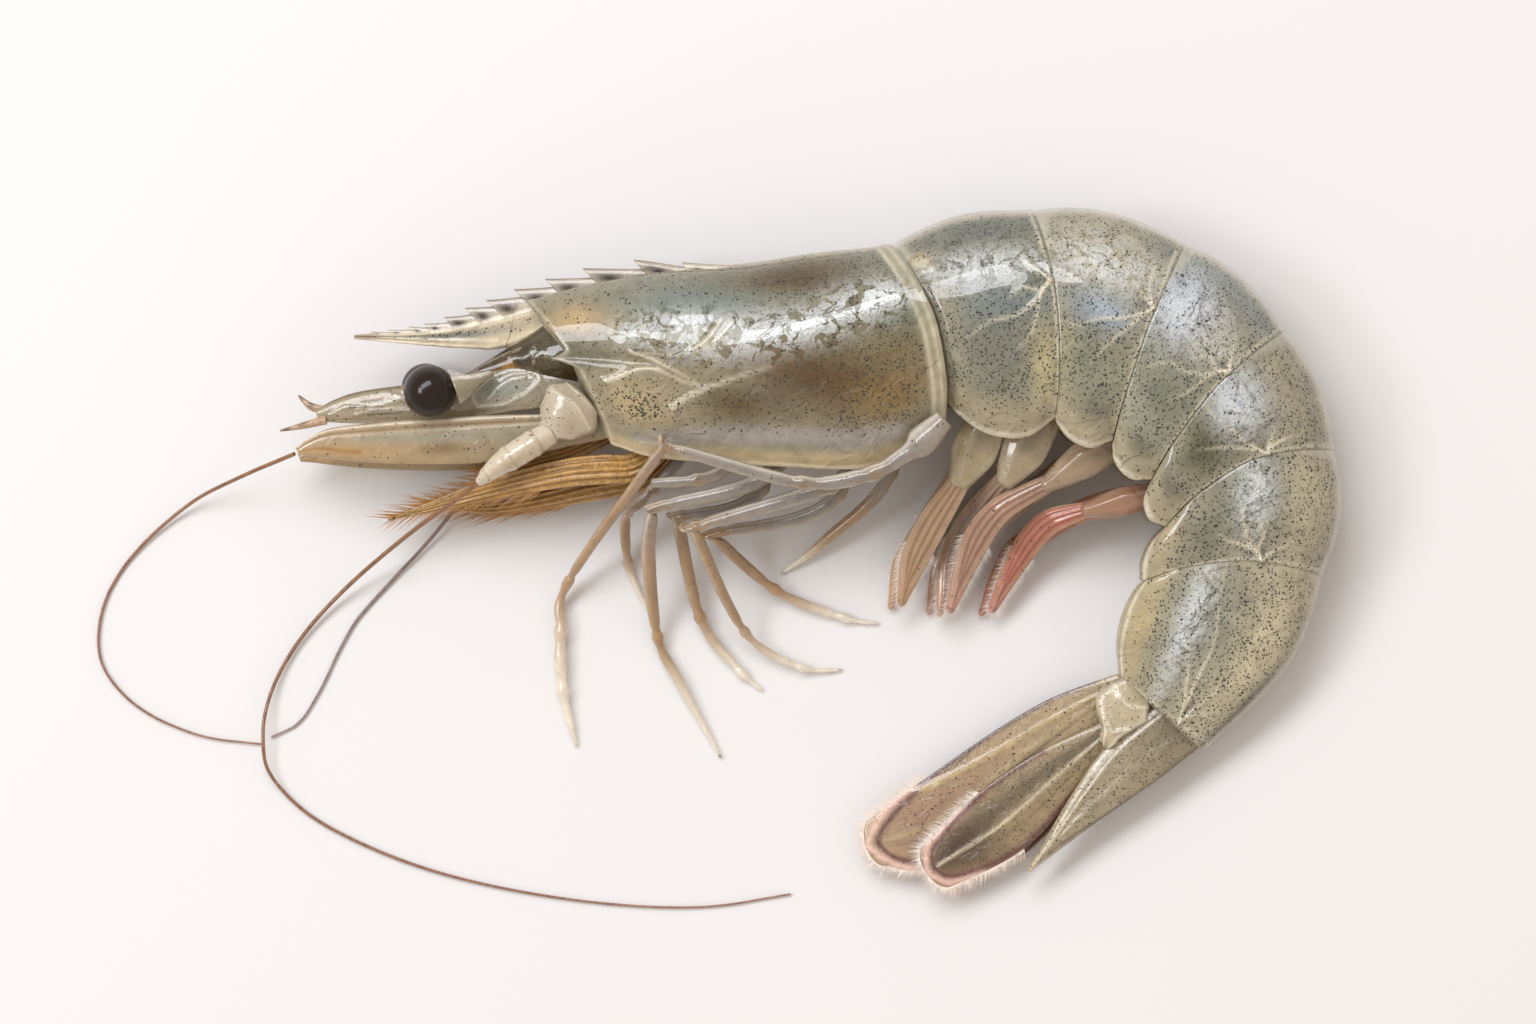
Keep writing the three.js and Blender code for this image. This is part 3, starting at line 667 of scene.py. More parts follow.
def plate_margin(ring):
    """The tucked front and the proud rear edge of a plate."""
    ring.lift -= 0.2 * (1 - smooth_step(0.0, 0.07, ring.along))
    ring.lift += 0.1 * smooth_step(0.86, 0.98, ring.along)
    ring.lift -= 0.25 * smooth_step(0.985, 1.0, ring.along)


def crease(ring, line, height=0.1, drawn=0.16):
    """A sharp wet fold, pale along its top, that runs out towards its end."""
    size = np.array((ring.length, ring.depth))
    here = np.stack([ring.along, ring.deep], axis=-1) * size
    reach = np.linalg.norm((np.array(line[-1]) - line[0]) * size)
    fade = np.clip(1.25 - np.linalg.norm(here - np.array(line[0]) * size, axis=-1) / reach, 0, 1)
    away = ring.beyond(line)
    ring.lift += height * fade * np.exp(-((away / 0.26) ** 2))
    ring.blend(0.8 * fade * np.exp(-((away / drawn) ** 2)), CREAM)


def finish_ring(ring, wedge, number):
    plate_margin(ring)
    ring.lift += 0.5 * np.sin(np.pi * ring.along)
    back = np.clip(1 - ring.deep / HINGE_DEPTH, 0, 1)
    in_wedge = smooth_step(0.0, 0.06, 0.8 * wedge * back - ring.along + 0.03)
    ring.blend(0.6 * in_wedge, "b4b0a0")
    ring.dots *= 1 - in_wedge
    ring.draw([(0.955, 0.0), (0.965, 0.3), (0.97, 0.7), (0.97, 0.95)], 0.16, CREAM, 0.5)
    ring.blend(0.6 * smooth_step(0.984, 0.996, ring.along), MARGIN_BROWN)
    # the paler lower lobe, with its cream outline
    lobe = smooth_step(0.78, 0.93, ring.deep)
    ring.blend(0.45 * lobe, "b3a583")
    ring.blend(0.8 * smooth_step(0.972, 0.99, ring.deep) * ~ring.hidden, CREAM)
    ring.dots *= 1 - 0.8 * lobe
    # the pale rim of the back
    rim = 1 - smooth_step(0.012, 0.05, ring.deep)
    ring.blend(0.7 * rim, PALE_RIM)
    ring.dots *= 1 - rim
    # the hinge
    hinge = (0.965, HINGE_DEPTH)
    ring.lift += 0.12 * ring.near(hinge, (0.045, 0.02)) - 0.3 * ring.near((0.9, HINGE_DEPTH), (0.05, 0.03))
    ring.stain(hinge, (0.03, 0.014), "c9b78d", 0.9)
    ring.stain((0.93, 0.345), (0.04, 0.022), "332c1e", 0.9)
    for line in HINGE_CREASES[number % 2]:
        crease(ring, [hinge, *line])


HINGE_CREASES = [
    [[(0.78, 0.42), (0.5, 0.46), (0.25, 0.52), (0.05, 0.54)], [(0.82, 0.45), (0.66, 0.54), (0.45, 0.66)],
     [(0.88, 0.27), (0.86, 0.14)], [(0.86, 0.31), (0.74, 0.27), (0.66, 0.29)]],
    [[(0.82, 0.43), (0.62, 0.48), (0.4, 0.5), (0.2, 0.58)], [(0.87, 0.28), (0.78, 0.2)],
     [(0.88, 0.4), (0.76, 0.56), (0.62, 0.62)], [(0.86, 0.38), (0.74, 0.36), (0.62, 0.4)]],
]

# For each ring: its ground colour, how wide the pale wedge in front of it is at the back, and its
# patches of colour, each with its place, its reach, its colour and its strength. One pale patch high
# on each ring is a painted highlight, where the wet shell would reflect the light.
RINGS = [
    ("8f8b73", 0.12, [
        ((0.55, 0.09), (0.5, 0.07), "6f7266", 0.8), ((0.6, 0.42), (0.4, 0.1), "7f8a88", 0.8),
        ((0.5, 0.62), (0.35, 0.16), "76766a", 0.6), ((0.85, 0.72), (0.13, 0.16), "cdbd88", 0.85),
        ((0.1, 0.5), (0.1, 0.5), "a39a7d", 0.8), ((0.3, 0.93), (0.4, 0.06), "a2967a", 0.5),
        # painted highlight: the pale grey-blue patch a quarter of the way down
        ((0.5, 0.24), (0.45, 0.06), "b9bcb4", 0.6)]),
    ("9a9378", 0.16, [
        ((0.5, 0.12), (0.5, 0.09), "b3a98c", 0.8), ((0.9, 0.08), (0.12, 0.08), "75766a", 0.7),
        ((0.45, 0.42), (0.28, 0.09), "8a979a", 0.85), ((0.45, 0.66), (0.35, 0.18), "7c7d66", 0.7),
        ((0.12, 0.7), (0.12, 0.2), "a59a74", 0.6), ((0.62, 0.86), (0.25, 0.05), "50544e", 0.9),
        # the first patch on this line is a painted highlight
        ((0.5, 0.23), (0.42, 0.09), "d0cab2", 0.75), ((0.55, 0.43), (0.3, 0.07), "a3b0b6", 0.7)]),
    ("96927b", 0.2, [
        ((0.6, 0.07), (0.5, 0.06), "80857e", 0.8), ((0.2, 0.25), (0.25, 0.18), "adb4b8", 0.85),
        ((0.6, 0.3), (0.3, 0.1), "a49c86", 0.5), ((0.5, 0.6), (0.4, 0.16), "7a7b66", 0.8),
        # the second patch on this line is a painted highlight
        ((0.55, 0.88), (0.3, 0.05), "4c504a", 0.9), ((0.3, 0.27), (0.26, 0.12), "bfc4c9", 0.85),
        ((0.7, 0.3), (0.2, 0.08), "c6c0ab", 0.7)]),
    ("9c957b", 0.2, [
        ((0.55, 0.16), (0.5, 0.12), "a79c7f", 0.8), ((0.25, 0.42), (0.25, 0.1), "969c98", 0.8),
        ((0.5, 0.62), (0.45, 0.14), "524e2e", 0.9), ((0.5, 0.86), (0.3, 0.05), "55564c", 0.8),
        # painted highlight: the pale grey patch a third of the way down
        ((0.35, 0.36), (0.3, 0.11), "c3c6c6", 0.85)]),
    ("9c947a", 0.16, [
        ((0.5, 0.16), (0.5, 0.12), "c8bb98", 0.85), ((0.3, 0.45), (0.35, 0.14), "8b8f84", 0.8),
        ((0.6, 0.66), (0.4, 0.14), "827f69", 0.7), ((0.35, 0.9), (0.4, 0.08), "a08c6a", 0.6),
        # painted highlight: the pale grey patch
        ((0.3, 0.42), (0.26, 0.09), "bfc0b5", 0.7)]),
    ("a39a7d", 0.1, [
        ((0.5, 0.2), (0.5, 0.16), "d0c29c", 0.9), ((0.75, 0.05), (0.3, 0.03), "55513f", 0.8),
        ((0.35, 0.55), (0.3, 0.2), "8b8d7d", 0.7), ((0.7, 0.42), (0.3, 0.14), "97917a", 0.6),
        # the second patch on this line is a painted highlight
        ((0.5, 0.92), (0.6, 0.07), "b39c6c", 0.75), ((0.4, 0.66), (0.4, 0.07), "c6c9c3", 0.75)]),
]

# Where each ring is creased: its wrinkles are deeper there, and pale highlight streaks are painted on them.
GLEAMS = [((0.5, 0.24), (0.5, 0.08)), ((0.5, 0.23), (0.42, 0.11)), ((0.35, 0.28), (0.35, 0.14)),
          ((0.35, 0.38), (0.35, 0.13)), ((0.35, 0.42), (0.35, 0.1)), ((0.4, 0.62), (0.5, 0.08))]

DEPTHS = [0.74, 0.84, 0.9, 0.85, 0.84, 0.9]  # how much light each ring's flesh gives back

COOLER = (0.97, 1.0, 1.09)  # the flesh is a little bluer than its stains

# The round knob on the first ring: its place and its radii, as shares.
KNOB, KNOB_REACH = np.array([0.09, 0.16]), np.array([0.075, 0.045])

# %% Tail rings
ahead = middle_of("carapace")
for number, (ground, wedge, patches) in enumerate(RINGS, start=1):
    ring_name = f"abdomen_{number}"
    rings = overlap(body_rings(ring_name, ahead), 0.1, 0.22)
    ring = plate_skin(rings, RING_ROWS, RING_COLUMNS, ground)
    ring.paint(patches)
    ring.tint *= DEPTHS[number - 1] * np.array(COOLER)
    ring.crease_and_gleam += ring.near(*GLEAMS[number - 1])
    finish_ring(ring, wedge, number)
    if number == 1:  # a round knob where the ring meets the shield
        turn = np.linspace(0, 2 * np.pi, 13)[:, None]
        knob = KNOB + KNOB_REACH * np.concatenate([np.cos(turn), np.sin(turn)], axis=1)
        ring.stain(KNOB, (0.07, 0.04), "cfc4a4", 0.8)
        ring.fold(knob, 0.25, 0.14, 0.16, "8f7f5c", 0.8)
    ahead = middle_of(ring_name)
    finish_piece(ring.piece(f"tail_ring_{number}", SHELL), "shell", ring_name)
print(len(RINGS), "tail rings,", RING_ROWS * RING_COLUMNS, "points each")

# %% [markdown]
# ## The head shield and its blade
# The shield is one stiff plate. Low ridges and grooves run over it, and the organs below show through
# it as a brown patch. In front, its ridge goes on as a thin blade, the rostrum, with a row of sharp
# teeth that lean forward. The teeth could be copies set on the blade. Here they are part of its upper
# outline, because on the animal they grow from it without a seam.

# %% Head shield
head_rings = body_rings("carapace", middle_of("eye_near"))
SAME_PLACE = 0.6 * MM  # a tooth's ring stands closer than this behind the ring of its notch
steps = np.linalg.norm(np.diff(head_rings[:, 3], axis=0), axis=1)
bare = [0] + [k + 1 for k, step in enumerate(steps) if step > SAME_PLACE]
BLADE_WIDTH = 2.5 * MM
widths = np.ptp(head_rings[bare][:, :, 2], axis=1)
shield_rings = overlap(head_rings[bare][widths > BLADE_WIDTH], 0.2, 0.12)
SHIELD_ROWS, SHIELD_COLUMNS = 300, 240
shield = plate_skin(shield_rings, SHIELD_ROWS, SHIELD_COLUMNS, "837d68")

SHIELD_PATCHES = [
    ((0.42, 0.19), (0.26, 0.13), "727d78", 0.9), ((0.70, 0.10), (0.2, 0.08), "4b3511", 0.95),
    ((0.95, 0.12), (0.1, 0.12), "6b6f62", 0.7), ((0.93, 0.38), (0.12, 0.12), "68705c", 0.8),
    ((0.58, 0.52), (0.12, 0.07), "6b4d22", 0.7), ((0.68, 0.6), (0.25, 0.18), "4a320c", 0.95),
    ((0.84, 0.72), (0.14, 0.14), "755a25", 0.75), ((0.85, 0.52), (0.1, 0.08), "6f6038", 0.6),
    ((0.4, 0.72), (0.12, 0.1), "4d3c1c", 0.9), ((0.5, 0.8), (0.3, 0.05), "6a5a3a", 0.4),
    ((0.12, 0.72), (0.12, 0.16), "a8956f", 0.85), ((0.3, 0.55), (0.12, 0.06), "8c7f60", 0.6),
    ((0.03, 0.35), (0.06, 0.2), "4e4e40", 0.6), ((0.08, 0.22), (0.09, 0.09), "b59a6e", 0.85),
]
shield.paint(SHIELD_PATCHES)
LOWER_BAND = [(0.1, 0.92), (0.3, 0.875), (0.55, 0.86), (0.85, 0.88)]
shield.draw(LOWER_BAND, 0.95, "96908a", 0.85)
shield.blend(0.75 * smooth_step(0.9, 0.96, shield.deep), "b9a680")
shield.blend(0.8 * smooth_step(0.978, 0.99, shield.deep) * ~shield.hidden, "dccdaa")
SHIELD_CREASES = [
    ([(0.06, 0.60), (0.19, 0.53), (0.28, 0.61), (0.33, 0.63)], 0.25),
    ([(0.17, 0.44), (0.25, 0.53), (0.31, 0.62)], 0.2),
    ([(0.22, 0.74), (0.27, 0.69), (0.32, 0.65), (0.42, 0.59), (0.53, 0.53)], 0.2),
    ([(0.45, 0.29), (0.38, 0.40), (0.30, 0.47), (0.19, 0.455)], 0.2),
    ([(0.47, 0.31), (0.40, 0.41), (0.33, 0.47)], 0.12),
]
CREASE_WIDTH = 0.22  # mm, wider than on the rings, because this grid is coarser
for line, height in SHIELD_CREASES:
    crease(shield, line, height, CREASE_WIDTH)
GROOVE = [(0.02, 0.45), (0.12, 0.47), (0.2, 0.5)]
shield.ridge(GROOVE, 0.7, -0.35)
SHOULDER = [(0.2, 0.36), (0.3, 0.43), (0.42, 0.46), (0.55, 0.41), (0.75, 0.32), (0.92, 0.27)]
shield.ridge(SHOULDER, 1.9, 0.4)
# the shoulder is creased too: deeper wrinkles, with pale highlight streaks painted on them
shield.crease_and_gleam += 0.7 * np.exp(-((shield.beyond(SHOULDER) / 1.6) ** 2))
shield.lift += 0.18 * smooth_step(0.945, 0.985, shield.along)
shield.blend(0.35 * smooth_step(0.94, 0.96, shield.along), "b3aa8e")
shield.draw([(0.957, 0.02), (0.96, 0.5), (0.96, 0.97)], 0.2, CREAM, 0.4)
shield.draw([(0.985, 0.02), (0.985, 0.5), (0.985, 0.97)], 0.2, CREAM, 0.35)
shield.dots = 0.35 + 0.65 * smooth_step(0.45, 0.75, shield.along)
shield.dots = np.maximum(shield.dots, 1.45 * shield.near((0.13, 0.72), (0.12, 0.14)))
shield.dots = np.maximum(shield.dots, shield.near((0.32, 0.76), (0.14, 0.1)))
shield.dots *= 1 - smooth_step(0.83, 0.88, shield.deep)
shield.dots *= 1 - smooth_step(0.945, 0.955, shield.along)
rim = 1 - smooth_step(0.008, 0.03, shield.deep)
shield.blend(0.6 * rim, PALE_RIM)
shield.dots *= 1 - rim
# the pale rim of the front edge
shield.draw([(0.008, 0.0), (0.008, 1.0)], 0.2, CREAM, 0.3)
shield.lift += 0.06 * np.exp(-((shield.along - 0.012) / 0.01) ** 2)
# where it is creased: deeper wrinkles, with pale highlight streaks painted on them
for place, reach in (((0.33, 0.3), (0.14, 0.07)), ((0.6, 0.34), (0.16, 0.08)), ((0.86, 0.26), (0.1, 0.08))):
    shield.crease_and_gleam += shield.near(place, reach)
# the spine below the orbit
spine = np.clip(1 - np.abs(shield.deep - 0.46) / 0.07, 0, 1) * np.clip(1 - shield.along / 0.06, 0, 1)
shield.grid[..., 0] -= 2.2 * MM * (spine * ~shield.hidden) ** 1.5
finish_piece(shield.piece("head_shield", SHELL), "shell", "carapace")

# %% The toothed blade
notches = head_rings[bare][:, 0]
tooth_tips = head_rings[[k for k in range(1, len(head_rings)) if k not in bare]][:, 0]
rises = tooth_tips - notches[1:len(tooth_tips) + 1]
tooth_heights = np.linalg.norm(rises, axis=1)
blade_rings = head_rings[bare][:len(tooth_tips) + 2]
print(len(tooth_tips), "teeth, the tallest", round(tooth_heights.max() / MM, 2), "mm")

BLADE_ROWS = 620
BLADE_COLUMNS = 48
BLADE_SIZE = (37 * MM, 3.4 * MM)  # the length and depth by which lines on it are measured
TOOTH_LEAN = 0.9  # how far a tip lies in front of its notch, of its height
ring_at = np.linspace(0, len(blade_rings) - 1, BLADE_ROWS)
top = fill_in(blade_rings[:, 0], ring_at)
narrow = int((widths <= BLADE_WIDTH).sum())
rim_depth = np.linalg.norm(blade_rings[:narrow, 0] - blade_rings[:narrow, KEEL_CORNER], axis=1) / MM
depth = np.interp(ring_at, [*range(narrow), narrow, narrow + 2, len(blade_rings)],
                  [*rim_depth, rim_depth[-1] + 0.6, 3.4, 2.4]) * MM
forward = -unit(np.gradient(top, axis=0))
down = unit(np.stack([-forward[:, 1], forward[:, 0], 0 * forward[:, 0]], axis=1))
half = np.interp(ring_at, [0, 4, 7, 13], [0.16, 0.45, 0.75, 0.8]) * MM
tooth = np.zeros((BLADE_ROWS, 3))
for number, (rise, tall) in enumerate(zip(rises, tooth_heights), start=1):
    behind = (ring_at - number)[:, None]
    fades = np.where((behind >= 0) & (behind < 1), np.clip(1 - behind, 0, 1) ** 1.25, 0)
    tooth += fades * (rise * [1, 1, 0] + forward * tall * TOOTH_LEAN)
angle = np.arange(BLADE_COLUMNS) / BLADE_COLUMNS * 2 * np.pi
deep = (1 - np.cos(angle)) / 2
bulge = np.abs(np.sin(angle)) ** 0.4 * np.sign(np.sin(angle))
grid = top[:, None] + down[:, None] * (depth[:, None] * deep)[..., None]
grid[..., 2] += bulge * half[:, None]
pull = np.clip(1 - deep / 0.3, 0, 1)
grid += pull[None, :, None] * tooth[:, None]
blade = Skin(grid, deep * np.ones((BLADE_ROWS, 1)), BLADE_SIZE, "c6b89f")
blade.dots *= 0
blade.stain((0.55, 0.08), (0.6, 0.14), "b7b0a8", 0.9)
blade.stain((0.36, 0.54), (0.2, 0.12), "66716f", 0.95)
blade.stain((0.8, 0.7), (0.2, 0.4), "b49c74", 0.7)
blade.dots += 1.6 * blade.near((0.36, 0.52), (0.2, 0.1))
RIBS = [[(0.0, 0.4), (0.3, 0.34), (0.72, 0.36)], [(0.0, 0.95), (0.45, 0.93), (0.6, 0.75), (0.8, 0.5)],
        [(0.1, 0.62), (0.3, 0.7), (0.5, 0.8)]]
for rib in RIBS:
    blade.fold(rib, 0.2, 0.14, 0.13, "dccfb2", 0.85)
blade.draw([(0.02, 0.5), (0.25, 0.46), (0.4, 0.46)], 0.1, "4d3b2a", 0.7)
blade.stain((0.04, 0.5), (0.07, 0.9), "7d5a40", 0.7)
for number, tall in enumerate(tooth_heights, start=1):
    place = (number + 0.3) / (len(blade_rings) - 1)
    reach = (0.021, 0.1) if tall > 0.6 * MM else (0.012, 0.07)
    blade.stain((place, 0.18), reach, "1d150e", 1.0)
    blade.draw([(place - 0.025, 0.0), (place + 0.05, 0.0)], 0.1, "5b4029", 0.8)
finish_piece(blade.piece("toothed_blade", SHELL), "shell")

# %% [markdown]
# ## Limbs, leaves and stalks
# Everything else that is stiff is a strip: a limb or a leaf that runs from one end to the other. Its
# rows run from the body outwards or from the front back, and its columns are measured across it as
# seen from above, from 0 at its left edge to 1 at its right. A leaf ends in a round tip, and every
# strip reaches a little way under the piece it grows from, so that no gap shows.


# %% Skins of strips
def rounded(rings, reach):
    """Adds rings past the last one, which close it in a round end of this length in mm."""
    middle = rings[-1].mean(axis=0)
    way = unit(middle - rings[-2].mean(axis=0))
    turn = np.linspace(0, 1.5, 7)[1:, None, None]
    more = middle + (rings[-1] - middle) * np.cos(turn) + way * reach * MM * np.sin(turn)
    return np.concatenate([rings, more])


def strip_skin(name, start, rows, columns, ground, under=(0.0, 0.0), tips=(0.0, 0.0), widths=(1,)):
    """The skin of a limb or a leaf. `under` lengthens its ends, by shares of a ring's step, `tips`
    rounds them, in mm, and `widths` are factors on its breadth from the start to the end."""
    rings = overlap(rings_of(name, start), *under)
    at = np.linspace(0, 1, len(rings))
    factor = np.interp(at, np.linspace(0, 1, len(widths)), widths)[:, None, None]
    middle = rings.mean(axis=1, keepdims=True)
    rings = middle + (rings - middle) * np.concatenate([factor, factor, 0 * factor + 1], axis=2)
    if tips[1]:
        rings = rounded(rings, tips[1])
    if tips[0]:
        rings = rounded(rings[::-1], tips[0])[::-1]
    corners = rings.shape[1]
    coarse = fill_in(rings, even_steps(rings, rows))
    around = np.arange(columns) * corners / columns
    grid = fill_in(coarse.transpose(1, 0, 2), around, closed=True).transpose(1, 0, 2)
    middle = grid.mean(axis=1)
    way = unit(np.gradient(middle, axis=0))
    left = unit(np.stack([-way[:, 1], way[:, 0], 0 * way[:, 0]], axis=1))
    reach = ((grid - middle[:, None]) * left[:, None]).sum(axis=-1)
    half = np.abs(reach).max(axis=1, keepdims=True)
    length = np.linalg.norm(np.diff(middle, axis=0), axis=1).sum()
    skin = Skin(grid, 0.5 - reach / half / 2, (length, 2 * float(half.mean())), ground)
    every = np.arange(rows)
    skin.left, skin.right = grid[every, reach.argmax(axis=1)], grid[every, reach.argmin(axis=1)]
    skin.middle = middle
    return skin


BEND_DEGREES = 11  # a limb bends where it turns by more than this from one step to the next


def bends_of(name, start):
    """Where a limb bends, as shares of its length."""
    middle = rings_of(name, start).mean(axis=1)
    steps = np.diff(middle, axis=0)
    way = np.concatenate([[0], np.cumsum(np.linalg.norm(steps, axis=1))])
    steps = unit(steps)
    bend = np.degrees(np.arccos(np.clip((steps[1:] * steps[:-1]).sum(axis=1), -1, 1)))
    return [float(way[k + 1] / way[-1]) for k in range(len(bend)) if bend[k] > BEND_DEGREES]


# %% [markdown]
# ## Feelers and hairs
# The feelers are long tapering tubes, and the fringes are hundreds of fine hairs along the edge of a
# leaf. Both follow a line, so each is made with Geometry Nodes from that line: a tube swept along it,
# or a small cone set at many points of it. Sculpting them one at a time would take far longer, and a
# hair system would not give plain triangles.


# %% Geometry node groups
def geometry_group(name, inputs):
    """A geometry node group: its tree, what it is given and its result."""
    group = bpy.data.node_groups.new(name, "GeometryNodeTree")
    group.interface.new_socket("Geometry", in_out="INPUT", socket_type="NodeSocketGeometry")
    for label, (kind, value) in inputs.items():
        socket = group.interface.new_socket(label, in_out="INPUT", socket_type="NodeSocket" + kind)
        if value is not None:
            socket.default_value = value
    group.interface.new_socket("Geometry", in_out="OUTPUT", socket_type="NodeSocketGeometry")
    return group, group.nodes.new("NodeGroupInput").outputs, group.nodes.new("NodeGroupOutput").inputs


def feeler_group():
    """A tube along a line, from its thick end to its thin one."""
    group, given, result = geometry_group("feeler", {
        "Thick": ("Float", 0.0003), "Thin": ("Float", 0.0001), "Sides": ("Int", 12),
        "Material": ("Material", None)})
    line = add_node(group, "GeometryNodeMeshToCurve", Mesh=given["Geometry"])
    part = add_node(group, "GeometryNodeSplineParameter")
    radius = add_node(group, "ShaderNodeMapRange", Value=part.outputs["Factor"])
    group.links.new(given["Thick"], radius.inputs["To Min"])
    group.links.new(given["Thin"], radius.inputs["To Max"])
    line = add_node(group, "GeometryNodeSetCurveRadius", Curve=line.outputs["Curve"],
                    Radius=radius.outputs["Result"])
    ring = add_node(group, "GeometryNodeCurvePrimitiveCircle", Resolution=given["Sides"], Radius=1.0)
    tube = add_node(group, "GeometryNodeCurveToMesh", Curve=line.outputs["Curve"],
                    Profile_Curve=ring.outputs["Curve"])
    tube.inputs["Fill Caps"].default_value = True
    if "Scale" in tube.inputs:
        group.links.new(radius.outputs["Result"], tube.inputs["Scale"])
    smooth = add_node(group, "GeometryNodeSetShadeSmooth", Geometry=tube.outputs["Mesh"])
    real = add_node(group, "GeometryNodeRealizeInstances", Geometry=smooth.outputs["Geometry"])
    painted = add_node(group, "GeometryNodeSetMaterial", Geometry=real.outputs["Geometry"],
                       Material=given["Material"])
    group.links.new(painted.outputs["Geometry"], result["Geometry"])
    return group


def fringe_group():
    """Hairs along a line. Each stands along the line's own `outward` direction, give or take."""
    group, given, result = geometry_group("fringe", {
        "Count": ("Int", 200), "Length": ("Float", 0.001), "Radius": ("Float", 0.00004),
        "Spread": ("Float", 0.2), "Seed": ("Int", 1), "Material": ("Material", None)})
    line = add_node(group, "GeometryNodeMeshToCurve", Mesh=given["Geometry"])
    points = add_node(group, "GeometryNodeCurveToPoints", {"mode": "COUNT"},
                      Curve=line.outputs["Curve"], Count=given["Count"])
    outward = add_node(group, "GeometryNodeInputNamedAttribute", {"data_type": "FLOAT_VECTOR"},
                       Name="outward")
    chance = add_node(group, "FunctionNodeRandomValue", {"data_type": "FLOAT_VECTOR"},
                      Seed=given["Seed"])
    chance.inputs[0].default_value = (-1, -1, -0.6)
    chance.inputs[1].default_value = (1, 1, 0.6)
    swing = add_node(group, "ShaderNodeVectorMath", {"operation": "SCALE"}, Scale=given["Spread"])
    group.links.new(chance.outputs[0], swing.inputs[0])
    way = add_node(group, "ShaderNodeVectorMath", {"operation": "ADD"})
    group.links.new(outward.outputs["Attribute"], way.inputs[0])
    group.links.new(swing.outputs[0], way.inputs[1])
    turn = add_node(group, "FunctionNodeAlignRotationToVector", {"axis": "Z"}, Vector=way.outputs[0])
    hair = add_node(group, "GeometryNodeMeshCone", Vertices=4, Side_Segments=2,
                    Radius_Top=0.0, Radius_Bottom=given["Radius"], Depth=given["Length"])
    size = add_node(group, "FunctionNodeRandomValue", {"data_type": "FLOAT"}, Seed=given["Seed"])
    numbers = [socket for socket in size.inputs if socket.type == "VALUE"]
    numbers[0].default_value, numbers[1].default_value = 0.55, 1.15
    amount = next(socket for socket in size.outputs if socket.type == "VALUE")
    copies = add_node(group, "GeometryNodeInstanceOnPoints", Points=points.outputs["Points"],
                      Instance=hair.outputs["Mesh"], Rotation=turn.outputs["Rotation"], Scale=amount)
    real = add_node(group, "GeometryNodeRealizeInstances", Geometry=copies.outputs["Instances"])
    painted = add_node(group, "GeometryNodeSetMaterial", Geometry=real.outputs["Geometry"],
                       Material=given["Material"])
    group.links.new(painted.outputs["Geometry"], result["Geometry"])
    return group


FEELER = feeler_group()
FRINGE = fringe_group()


def line_object(name, points, vectors=None, colours=None):
    """A line of points joined by edges, with what each point knows."""
    mesh = bpy.data.meshes.new(name)
    mesh.from_pydata(np.asarray(points).tolist(), [(k, k + 1) for k in range(len(points) - 1)], [])
    if vectors is not None:
        made = mesh.attributes.new("outward", "FLOAT_VECTOR", "POINT")
        made.data.foreach_set("vector", np.asarray(vectors, np.float32).ravel())
    if colours is not None:
        made = mesh.attributes.new("tint", "FLOAT_COLOR", "POINT")
        wide = np.concatenate([colours, np.ones((len(colours), 1))], axis=1)
        made.data.foreach_set("color", wide.astype(np.float32).ravel())
    piece = bpy.data.objects.new(name, mesh)
    scene.collection.objects.link(piece)
    return piece


def grown(piece, group, **inputs):
    """Runs a geometry node group on an object and keeps the result as a plain mesh."""
    modifier = piece.modifiers.new(group.name, "NODES")
    modifier.node_group = group
    named = {item.name: item.identifier for item in group.interface.items_tree
             if item.item_type == "SOCKET" and item.in_out == "INPUT"}
    for key, value in inputs.items():
        modifier[named[key]] = value
    evaluated = piece.evaluated_get(bpy.context.evaluated_depsgraph_get())
    mesh = bpy.data.meshes.new_from_object(evaluated)
    piece.modifiers.remove(modifier)
    piece.data = mesh
    return piece


def fringe(name, line, outward, count, length, spread, seed, material, slot, radius=0.035):
    """Hairs along a line. `length` and `radius` are in mm."""
    piece = line_object(name, line, unit(np.asarray(outward)))
    grown(piece, FRINGE, Count=count, Length=length * MM, Radius=radius * MM, Spread=spread,
          Seed=seed, Material=material)
    return finish_piece(piece, slot)


def rim_of(skin, since, inset=0.0):
    """The outline of a leaf from a share of its length round the tip and back, and the
    direction away from the leaf at each of its points."""
    first = int(since * (len(skin.left) - 1))
    rim = np.concatenate([skin.left[first:-1], skin.right[first:-1][::-1]])
    along_rim = unit(np.gradient(rim, axis=0))
    outward = np.stack([along_rim[:, 1], -along_rim[:, 0], 0 * along_rim[:, 0]], axis=1)
    tip_way = unit(skin.middle[-1] - skin.middle[-6])
    if outward[len(outward) // 2] @ tip_way < 0:
        outward = -outward
    return rim - outward * inset * MM, unit(outward + 0.6 * tip_way)


# %% [markdown]
# ## The head
# The eyes are smooth dark globes on pale stalks. Below them lie the first feelers, a pair of flat
# scales like the blades of a pair of scissors, and the ivory joints from which the long feelers
# spring. A dark brow with ochre patches fills the corner under the blade.

# %% Brow, antennules and scales
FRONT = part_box("antennule_tip_lower")[0]
brow = strip_skin("brow", FRONT, 90, 48, "44351a", under=(1.0, 3.2), widths=(2.0, 1.8))
brow.paint([
    ((0.2, 0.6), (0.12, 0.18), "a67430", 0.95), ((0.45, 0.6), (0.1, 0.18), "a0722c", 0.95),
    ((0.3, 0.45), (0.09, 0.1), "100e0a", 1.0), ((0.55, 0.5), (0.06, 0.18), "17150f", 0.95),
    ((0.64, 0.35), (0.06, 0.2), "1f1c16", 0.9), ((0.8, 0.4), (0.15, 0.3), "4f4c38", 0.7)])
for line in [[(0.1, 0.2), (0.35, 0.14), (0.6, 0.2)], [(0.45, 0.3), (0.6, 0.42), (0.72, 0.3)],
             [(0.66, 0.6), (0.75, 0.45), (0.86, 0.6)], [(0.3, 0.8), (0.5, 0.72), (0.7, 0.82)]]:
    brow.fold(line, 0.14, 0.1, 0.1, "c9c0a8", 0.45)
finish_piece(brow.piece("dark_brow", SHELL), "shell", "brow")

